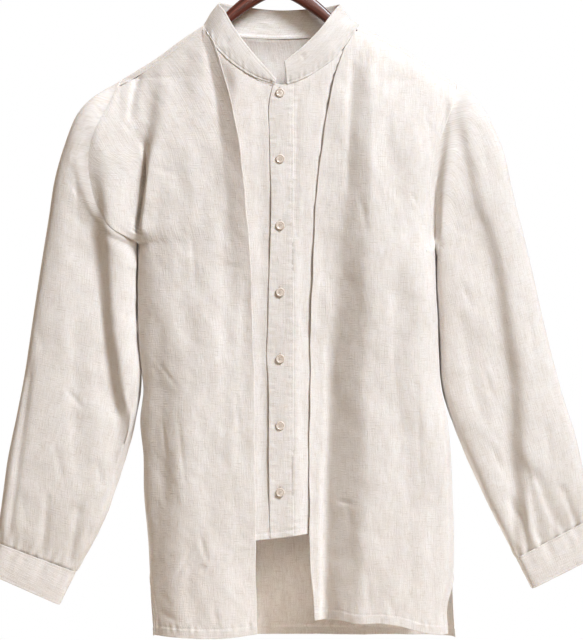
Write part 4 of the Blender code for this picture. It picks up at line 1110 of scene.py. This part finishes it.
def cuff_points(side):
    """A cuff: a stiff double band over the sleeve's gathered end, with a fold along its far edge."""
    down = shares(CUFF_LENGTH, 0.008, 0.008, 0.0008, 0.0022)[:, None]
    angle = ring_angles()
    points = ring_points(CUFF[side], down, angle, np.full_like(down, 0.5))
    top, foot, _, _ = edges_of(points)
    ripple = np.sin(angle * 9.0 + 1.0) + 0.8 * np.sin(angle * 14.0 + 4.0) + 0.5 * np.sin(angle * 23.0)
    lift = 0.0002 + 0.00055 * ripple * ease(0.034, 0.004, top)
    lift += groove(top, EDGE_STITCH) + groove(foot, CUFF_FOLD_STITCH, width=0.0010)
    return raised(points, lift, ring=True, flip=side == LEFT)


def sleeve_chart(points, shift):
    """A sleeve's or cuff's cloth map, its threads along the arm: down is the way along the arm's
    own line, and across is what is left of each step round it."""
    closed = np.concatenate([points, points[:, :1]], axis=1)
    down = closed @ unit(points[-1].mean(axis=0) - points[0].mean(axis=0))
    step = (np.diff(closed, axis=1) ** 2).sum(axis=-1)
    width = np.sqrt(np.maximum(step - np.diff(down, axis=1) ** 2, 0.0))
    across = np.concatenate([np.zeros_like(down[:, :1]), np.cumsum(width, axis=1)], axis=1)
    return np.stack([across + shift, down + shift], axis=-1)


# ---------------------------------------------------------------- buttons and hanger
def button_mesh(centre):
    """A turned shell button: a raised rim round a dished face with four holes, and a flat back.
    The face is a function of the distance from the middle and the angle round it."""
    radius = bpy.context.scene.jacket_sizes.button / 2.0
    reach = np.concatenate([np.linspace(0.0, 0.90, 26), np.linspace(0.92, 1.0, 6)])[:, None]
    turn = np.linspace(0.0, 2.0 * math.pi, 48, endpoint=False)[None, :]
    across, up = reach * radius * np.cos(turn), reach * radius * np.sin(turn)
    face = 0.0010 + 0.00045 * bell(reach - 0.80, 0.10)
    face = face - 0.0010 * np.clip((reach - 0.86) / 0.14, 0.0, 1.0) ** 2
    for spot in math.pi * np.array((0.25, 0.75, 1.25, 1.75)):
        away = np.hypot(across - BUTTON_HOLE_OUT * math.cos(spot), up - BUTTON_HOLE_OUT * math.sin(spot))
        face = face - 0.0013 * ease(0.00062, 0.00040, away)
    rear_y = 0.0009
    front = np.stack([across, -face, up], axis=-1)
    rear = np.stack([across, np.full_like(up, rear_y), up], axis=-1)[::-1][1:]
    side = np.stack([across[-1:], np.full_like(up[-1:], 0.0004), up[-1:]], axis=-1)
    rings = np.concatenate([front[1:], side, rear[:-1]])
    index = np.arange(rings.shape[0] * rings.shape[1]).reshape(rings.shape[:2])
    around = np.roll(index, -1, axis=1)
    quads = np.stack([index[:-1], index[1:], around[1:], around[:-1]], axis=-1).reshape(-1, 4)
    front_fan = np.stack([np.full_like(index[0], index.size), index[0], around[0]], axis=1)
    rear_fan = np.stack([np.full_like(index[0], index.size + 1), around[-1], index[-1]], axis=1)
    points = np.concatenate([rings.reshape(-1, 3), [[0.0, -face[0, 0], 0.0], [0.0, rear_y, 0.0]]])
    return points + np.asarray(centre), quads.tolist() + front_fan.tolist() + rear_fan.tolist()


def tube_of(rings):
    """A closed surface from rings of points: quads between them, and a cap on each end."""
    index = np.arange(rings.shape[0] * rings.shape[1]).reshape(rings.shape[:2])
    around = np.roll(index, -1, axis=1)
    quads = np.stack([index[:-1], around[:-1], around[1:], index[1:]], axis=-1).reshape(-1, 4)
    return rings.reshape(-1, 3), quads.tolist() + [index[0, ::-1].tolist(), index[-1].tolist()]


def tube(path, radius, side, count):
    """A round bar along a path: a circle carried square to it, with a radius for each point."""
    turns = np.linspace(0.0, 2.0 * math.pi, count, endpoint=False)[None, :, None]
    up = unit(np.cross(unit(np.gradient(path, axis=0)), side))[:, None]
    return tube_of(path[:, None] + radius[:, None, None] * (np.cos(turns) * side + np.sin(turns) * up))


def bar(start, end, radius):
    """A short round bar from one point to another with domed ends: rings of a shrinking radius."""
    run = np.subtract(end, start)
    upright = abs(run[2]) > 0.9 * np.linalg.norm(run)
    side = unit(np.cross(run, (1.0, 0.0, 0.0) if upright else (0.0, 0.0, 1.0)))
    at, swell = np.array(((0.0, 0.35), (0.12, 0.85), (0.3, 1.0), (0.7, 1.0), (0.88, 0.85), (1.0, 0.35))).T
    return tube(start + run * at[:, None], radius * swell, side, 8)


def joined(parts):
    """Several (points, faces) joined into one."""
    points, faces, used = [], [], 0
    for more_points, more_faces in parts:
        points.append(more_points)
        faces += [[v + used for v in face] for face in more_faces]
        used += len(more_points)
    return np.concatenate(points), faces


def hook_path():
    """The hook's centre line: a plumb shank, an easy bend out, and the round hook over the top."""
    def on_circle(turn):
        circle = np.stack([np.cos(turn), np.zeros_like(turn), np.sin(turn) - 1.0], axis=-1)
        return HOOK_RADIUS * circle + (0.0, 0.0, HOOK_WIRE)

    foot = np.array([0.0, 0.0, ARM["top"][0] - 0.004])
    bend = np.array([0.0, 0.0, ARM["top"][0] + 0.0003 + HOOK_SHANK])
    start, end = np.radians((-60.0, 200.0))
    entry = on_circle(start)
    rise = np.array([0.0, 0.0, 1.0]) * HOOK_SHANK
    away = np.array([-math.sin(start), 0.0, math.cos(start)]) * HOOK_SHANK
    t = np.linspace(0.0, 1.0, 22)[:, None]
    curve = ((2 * t ** 3 - 3 * t ** 2 + 1) * bend + (t ** 3 - 2 * t ** 2 + t) * rise
             + (3 * t ** 2 - 2 * t ** 3) * entry + (t ** 3 - t ** 2) * away)
    hook = on_circle(np.linspace(start, end, 66)[1:])
    return np.concatenate([np.linspace(foot, bend, 8)[:-1], curve, hook])


def hanger_points(turn):
    """The wooden arms: a soft-cornered section carried from tip to tip, between the heights of
    its top and bottom, as a function of the place along it and the angle round it."""
    s = np.linspace(-1.0, 1.0, 181)
    s = np.sign(s) * np.abs(s) ** 0.85
    out = s * ARM["out"][-1]
    top, bottom = (along(ARM, "out", name, np.abs(out)) for name in ("top", "bottom"))
    close = 0.06 + 0.94 * np.sqrt(np.clip((1.0 - np.abs(s)) / 0.022, 0.0, 1.0))
    soft = 2.0 / 3.2
    high = np.sign(np.sin(turn)) * np.abs(np.sin(turn)) ** soft
    deep = np.sign(np.cos(turn)) * np.abs(np.cos(turn)) ** soft
    half, lean = ((top - bottom) / 2.0 * close)[:, None], np.gradient((top + bottom) / 2.0, out)[:, None]
    rise = high * half / (1.0 + lean ** 2)
    return np.stack([out[:, None] - rise * lean, deep * (HANGER_HALF_THICK * close)[:, None],
                     ((top + bottom) / 2.0)[:, None] + rise], axis=-1)


# ---------------------------------------------------------------- settings
class JacketSizes(bpy.types.PropertyGroup):
    """The sizes that a user would change."""
    cloth: FloatProperty(name="Cloth", description="Wall of each linen piece", default=0.0010,
                         min=0.0004, max=0.002, unit="LENGTH")
    thread: FloatProperty(name="Thread", description="Thickness of the sewing thread",
                          default=0.00034, unit="LENGTH")
    stitch_length: FloatProperty(name="Stitch", description="Length of one stitch", default=0.0024,
                                 unit="LENGTH")
    stitch_gap: FloatProperty(name="Stitch gap", description="Gap between two stitches",
                              default=0.0009, unit="LENGTH")
    button: FloatProperty(name="Button", description="Width of a button", default=0.0112, unit="LENGTH")


class JacketColours(bpy.types.PropertyGroup):
    """The colours of the finishes."""
    thread: FloatVectorProperty(name="Thread", description="Lit colour of the sewing thread",
                                subtype="COLOR", default=linear("#E2DAD1"))
    button: FloatVectorProperty(name="Button", description="Pale part of the shell", subtype="COLOR",
                                default=linear("#E9E0D6"))
    wood: FloatVectorProperty(name="Wood", description="Stained wood where the grain is light",
                              subtype="COLOR", default=linear("#7A3B2C"))
    wood_dark: FloatVectorProperty(name="Dark wood", description="Stained wood where the grain is dark",
                                   subtype="COLOR", default=linear("#3C1D18"))
    steel: FloatVectorProperty(name="Steel", description="Nickel plating", subtype="COLOR",
                               default=linear("#C9C8C6"))
    floor: FloatVectorProperty(name="Floor", description="Plain floor under the garment",
                               subtype="COLOR", default=linear("#EFEAE2"))


class JacketStage(bpy.types.PropertyGroup):
    """Camera and light."""
    distance: FloatProperty(name="Distance", description="From the camera to the hanger's plane",
                            default=3.2, unit="LENGTH")
    framed: FloatProperty(name="Framed height", description="Height in view at that distance, for the lens",
                          default=0.8, unit="LENGTH")
    key: FloatProperty(name="Key light", description="Power of the softbox at the front", default=835.0,
                       unit="POWER")
    side: FloatProperty(name="Side light", description="Power of the weak softbox at the other side",
                        default=4.0, unit="POWER")
    rim: FloatProperty(name="Back light", description="Power of the softbox behind", default=60.0,
                       unit="POWER")
    fill: FloatProperty(name="Fill light", description="Power of the softbox beside the camera",
                        default=18.0, unit="POWER")
    neck: FloatProperty(name="Neck light", description="Power of the small spot on the inside of the neck",
                        default=95.0, unit="POWER")
    foot: FloatProperty(name="Foot light", description="Power of the small spot inside the open foot",
                        default=60.0, unit="POWER")
    sky: FloatProperty(name="Surround", description="Strength of the pale surround", default=1.0)
    dim: FloatProperty(name="Surround in front", description="Share of that strength before the garment",
                       default=0.10)


# ---------------------------------------------------------------- operators
class JACKET_OT_back(bpy.types.Operator):
    """Make the back with its hem, over both shoulders"""
    bl_idname = "jacket.back"
    bl_label = "Back"

    def execute(self, context):
        points = back_points()
        cloth_piece("back", points, chart_of(points, 0.0), flip=True)
        top, foot, _, _ = edges_of(points)
        lines = [line_at(points, -foot, -BODY_HEM, flip=True)]
        place, facing = line_at(points, top, SHOULDER_STITCH, flip=True)
        for side in WORDS:
            half = side * (points[0, :, 0] - CENTRE_X) > NECK_HALF + 0.002
            lines.append((place[half], facing[half]))
        sewn_lines("stitches_back", lines)
        return {"FINISHED"}


class JACKET_OT_outer_fronts(bpy.types.Operator):
    """Make the two long open fronts"""
    bl_idname = "jacket.outer_fronts"
    bl_label = "Outer fronts"

    def execute(self, context):
        for side, word in WORDS.items():
            points, right = outer_front_points(side), side == RIGHT
            cloth_piece("front_outer_" + word, points, chart_of(points, 0.7 + 0.6 * right),
                        flip=right)
            _, foot, _, sewn = edges_of(points)
            lines = [line_at(points, -foot, -BODY_HEM, flip=right)]
            place, facing = line_at(points, -sewn, -ARMHOLE_STITCH, 1, flip=right)
            for part in (place[:, 2] > ARMHOLE[side]["height"][0] + 0.012, place[:, 2] < SLIT_TOP):
                lines.append((place[part], facing[part]))
            sewn_lines("stitches_front_outer_" + word, lines)
        return {"FINISHED"}


class JACKET_OT_inner_fronts(bpy.types.Operator):
    """Make the two short fronts under the open ones"""
    bl_idname = "jacket.inner_fronts"
    bl_label = "Inner fronts"

    def execute(self, context):
        for side, word in WORDS.items():
            points, right = inner_front_points(side), side == RIGHT
            cloth_piece("front_inner_" + word, points, chart_of(points, 2.0 + 0.5 * right),
                        flip=right)
            foot = edges_of(points)[1]
            sewn_lines("stitches_front_inner_" + word, [line_at(points, -foot, -INNER_HEM, flip=right)])
        return {"FINISHED"}


class JACKET_OT_button_band(bpy.types.Operator):
    """Make the folded band with the buttonholes"""
    bl_idname = "jacket.button_band"
    bl_label = "Button band"

    def execute(self, context):
        points = band_points()
        cloth_piece("button_band", points, chart_of(points, 3.3), wall=BAND_WALL)
        _, foot, _, sewn = edges_of(points)
        sewn_lines("stitches_button_band",
                   [line_at(points, -foot, -INNER_HEM), line_at(points, -sewn, -EDGE_STITCH, 1)])
        return {"FINISHED"}


class JACKET_OT_collar(bpy.types.Operator):
    """Make the band collar"""
    bl_idname = "jacket.collar"
    bl_label = "Collar"

    def execute(self, context):
        points = collar_points()
        top, foot, _, _ = edges_of(points)
        chart = np.stack([top + 4.0, run_along(points, 1)], axis=-1)
        cloth_piece("collar", points, chart, flip=True, wall=COLLAR_WALL, face="linen_double")
        sewn_lines("stitches_collar", [line_at(points, top, EDGE_STITCH, flip=True),
                                       line_at(points, -foot, -COLLAR_FOOT_STITCH, flip=True)])
        return {"FINISHED"}


class JACKET_OT_sleeves(bpy.types.Operator):
    """Make the two sleeves"""
    bl_idname = "jacket.sleeves"
    bl_label = "Sleeves"

    def execute(self, context):
        for side, word in WORDS.items():
            points = sleeve_points(side)
            cloth_piece("sleeve_" + word, points, sleeve_chart(points, 5.0 + 0.7 * (side == RIGHT)),
                        ring=True, flip=side == LEFT)
        return {"FINISHED"}


class JACKET_OT_cuffs(bpy.types.Operator):
    """Make the two cuffs"""
    bl_idname = "jacket.cuffs"
    bl_label = "Cuffs"

    def execute(self, context):
        for side, word in WORDS.items():
            points, flip = cuff_points(side), side == LEFT
            chart = sleeve_chart(points, 7.0 + 0.5 * (side == RIGHT))[..., ::-1]
            cloth_piece("cuff_" + word, points, chart, ring=True, flip=flip, wall=CUFF_WALL)
            top, foot, _, _ = edges_of(points)
            lines = []
            for measure, distance in ((top, EDGE_STITCH), (-foot, -CUFF_FOLD_STITCH)):
                place, facing = line_at(points, measure, distance, flip=flip, ring=True)
                lines.append((np.concatenate([place, place[:1]]), np.concatenate([facing, facing[:1]])))
            sewn_lines("stitches_cuff_" + word, lines)
        return {"FINISHED"}


class JACKET_OT_buttons(bpy.types.Operator):
    """Make the seven shell buttons, their threads and buttonholes"""
    bl_idname = "jacket.buttons"
    bl_label = "Buttons"

    def execute(self, context):
        threads, holes, x = [], [], CENTRE_X
        for number in range(BUTTON_COUNT):
            z = BUTTON_TOP - number * BUTTON_STEP
            here = np.array(x), np.array(z)
            cloth_y = -float(depth(LEFT, *here, layer_inset(LEFT, *here)))
            y = cloth_y - BUTTON_OUT
            new_piece("shell_button_%d" % (number + 1), *button_mesh((x, y, z)), ["shell"],
                      ["button_%d" % (number + 1)], "button_shell")
            # The thread crosses from hole to hole, and a shank of it holds the button.
            hole = BUTTON_HOLE_OUT * 0.71
            for turn in (1, -1):
                threads.append(bar((x - hole, y - 0.0009, z - hole * turn),
                                   (x + hole, y - 0.0009, z + hole * turn), BUTTON_THREAD))
            threads.append(bar((x, y + 0.0005, z), (x, y + 0.0030, z), 0.0009))
            # A buttonhole: two cords side by side, and a bar tack over each of its ends.
            sewn_y, low, high = cloth_y - 0.0004, z - BUTTONHOLE_HALF, z + BUTTONHOLE_HALF
            for end, end_z in ((-1, low), (1, high)):
                cord_x = x + 0.0006 * end
                holes.append(bar((x - 0.0009, sewn_y, end_z), (x + 0.0009, sewn_y, end_z), BUTTONHOLE_CORD))
                holes.append(bar((cord_x, sewn_y, low), (cord_x, sewn_y, high), BUTTONHOLE_CORD))
        new_piece("button_threads", *joined(threads), ["thread"])
        new_piece("buttonhole_stitching", *joined(holes), ["thread"])
        return {"FINISHED"}


class JACKET_OT_hanger(bpy.types.Operator):
    """Make the wooden hanger and its steel hook"""
    bl_idname = "jacket.hanger"
    bl_label = "Hanger"

    def execute(self, context):
        turn = np.linspace(0.0, 2.0 * math.pi, 32, endpoint=False)[None, :]
        points = hanger_points(turn)
        vertices, faces = tube_of(points)
        piece = new_piece("hanger", vertices, faces, ["wood"], ["hanger_wood"], "stained_wood")
        run = run_along(points, 0).mean(axis=1, keepdims=True)
        around = np.abs(np.sin(turn / 2.0 + 0.4)) * 0.03
        chart = np.stack(np.broadcast_arrays(run, around), axis=-1).reshape(-1, 2)
        add_map(piece, "grain", chart[np.concatenate(faces)])
        path = hook_path()
        radius = np.full(len(path), HOOK_WIRE)
        radius[-4:] *= (0.97, 0.85, 0.62, 0.25)
        new_piece("hook", *tube(path, radius, (0.0, 1.0, 0.0), 20), ["steel"], ["hanger_hook"],
                  "plated_steel")
        return {"FINISHED"}


def put(name, data, place, aim=None):
    """Put a lamp or a camera at a place, aimed at a target or straight along +Y."""
    holder = bpy.data.objects.new(name, data)
    run = Vector(aim) - Vector(place) if aim else Vector((0.0, 1.0, 0.0))
    holder.location, holder.rotation_euler = place, run.to_track_quat("-Z", "Y").to_euler()
    bpy.context.scene.collection.objects.link(holder)
    return holder


def make_surround(stage):
    """A surround that is pale behind the garment, and dim and warm before it. Straight to the
    camera it is plain white."""
    world = bpy.data.worlds.new("pale_surround")
    bpy.context.scene.world = world
    world.use_nodes = True
    tree = world.node_tree
    look = node(tree, "ShaderNodeTexCoord")
    parts = node(tree, "ShaderNodeSeparateXYZ", {"Vector": (look, "Generated")})
    ramp = node(tree, "ShaderNodeValToRGB", {"Fac": (parts, "Y")},
                stops=((0.45, [stage.dim * part for part in (1.6, 1.0, 0.45)]), (0.88, (1.0, 1.0, 1.0))))
    seen = node(tree, "ShaderNodeLightPath")
    shown = node(tree, "ShaderNodeMixRGB", {"Fac": (seen, "Is Camera Ray"), "Color1": (ramp, "Color")},
                 inputs={"Color2": (1.0, 1.0, 1.0, 1.0)})
    background = tree.nodes["Background"].inputs
    tree.links.new(shown.outputs["Color"], background["Color"])
    background["Strength"].default_value = stage.sky


class JACKET_OT_stage(bpy.types.Operator):
    """Make the floor, the light and the camera"""
    bl_idname = "jacket.stage"
    bl_label = "Stage"

    def execute(self, context):
        stage = context.scene.jacket_stage
        turn = np.linspace(0.0, 2.0 * math.pi, 96, endpoint=False)
        disc = np.stack([0.9 * np.cos(turn), 0.9 * np.sin(turn), np.full(96, -1.32)], axis=-1)
        mesh = bpy.data.meshes.new("floor")
        mesh.from_pydata(disc.tolist(), [], [list(range(96))])
        mesh.materials.append(start_material(
            "matt_floor", 0.9, Base_Color=(*context.scene.jacket_colours.floor, 1.0))[0])
        floor = bpy.data.objects.new("floor", mesh)
        context.scene.collection.objects.link(floor)
        make_surround(stage)

        for name, place, size, power, tint in (
                ("key", (3.90, -4.55, 4.80), 2.1, stage.key, "#EEF6FF"),
                ("fill", (0.6, -2.9, 0.9), 1.2, stage.fill, "#FFFAF4"),
                ("side", (-3.0, -0.7, 0.3), 1.6, stage.side, "#FFF6EC"),
                ("behind", (-1.9, 2.1, 0.7), 1.6, stage.rim, "#FFF8F0")):
            lamp = bpy.data.lights.new(name, "AREA")
            lamp.size, lamp.energy, lamp.color = size, power, linear(tint)
            put(name, lamp, place, (0.02, 0.0, -0.45))
        # Two narrow spots light the inside of the neck and of the open foot.
        for name, aim, angle, power in (("neck", (-0.002, 0.03, -0.150), 1.4, stage.neck),
                                        ("foot", (0.006, 0.04, -0.825), 2.0, stage.foot)):
            lamp = bpy.data.lights.new(name, "SPOT")
            lamp.energy, lamp.spot_size, lamp.spot_blend = power, math.radians(angle), 1.0
            lamp.shadow_soft_size = 0.05
            put(name, lamp, (0.0, -2.9, aim[2] + 0.2), aim)

        lens = bpy.data.cameras.new("camera")
        lens.sensor_width = 36.0
        lens.lens = lens.sensor_width * stage.distance / stage.framed
        lens.clip_end = 20.0
        context.scene.camera = put("camera", lens, (0.0169, -stage.distance, -0.490))
        context.scene.view_settings.view_transform = "Standard"
        return {"FINISHED"}


class JACKET_PT_panel(bpy.types.Panel):
    """The jacket's pieces in the order they are made"""
    bl_idname = "JACKET_PT_panel"
    bl_label = "Shirt jacket"
    bl_space_type = "VIEW_3D"
    bl_region_type = "UI"
    bl_category = "Shirt jacket"

    def draw(self, context):
        for group in ("jacket_sizes", "jacket_colours", "jacket_stage"):
            settings = getattr(context.scene, group)
            for name in settings.__annotations__:
                self.layout.prop(settings, name)
        for operator in OPERATORS:
            self.layout.operator(operator.bl_idname)


OPERATORS = (JACKET_OT_back, JACKET_OT_outer_fronts, JACKET_OT_inner_fronts, JACKET_OT_button_band,
             JACKET_OT_collar, JACKET_OT_sleeves, JACKET_OT_cuffs, JACKET_OT_buttons, JACKET_OT_hanger,
             JACKET_OT_stage)
GROUPS = {"jacket_sizes": JacketSizes, "jacket_colours": JacketColours, "jacket_stage": JacketStage}


def register():
    """Register the settings, the operators and the panel."""
    for kind in (*GROUPS.values(), *OPERATORS, JACKET_PT_panel):
        bpy.utils.register_class(kind)
    for name, kind in GROUPS.items():
        setattr(bpy.types.Scene, name, PointerProperty(type=kind))


def unregister():
    """Take them away again."""
    for name in GROUPS:
        delattr(bpy.types.Scene, name)
    for kind in (JACKET_PT_panel, *reversed(OPERATORS), *GROUPS.values()):
        bpy.utils.unregister_class(kind)


def main():
    """Make every piece and the stage."""
    register()
    bpy.ops.jacket.hanger()
    bpy.ops.jacket.back()
    bpy.ops.jacket.outer_fronts()
    bpy.ops.jacket.inner_fronts()
    bpy.ops.jacket.button_band()
    bpy.ops.jacket.collar()
    bpy.ops.jacket.sleeves()
    bpy.ops.jacket.cuffs()
    bpy.ops.jacket.buttons()
    bpy.ops.jacket.stage()


if __name__ == "__main__":
    main()
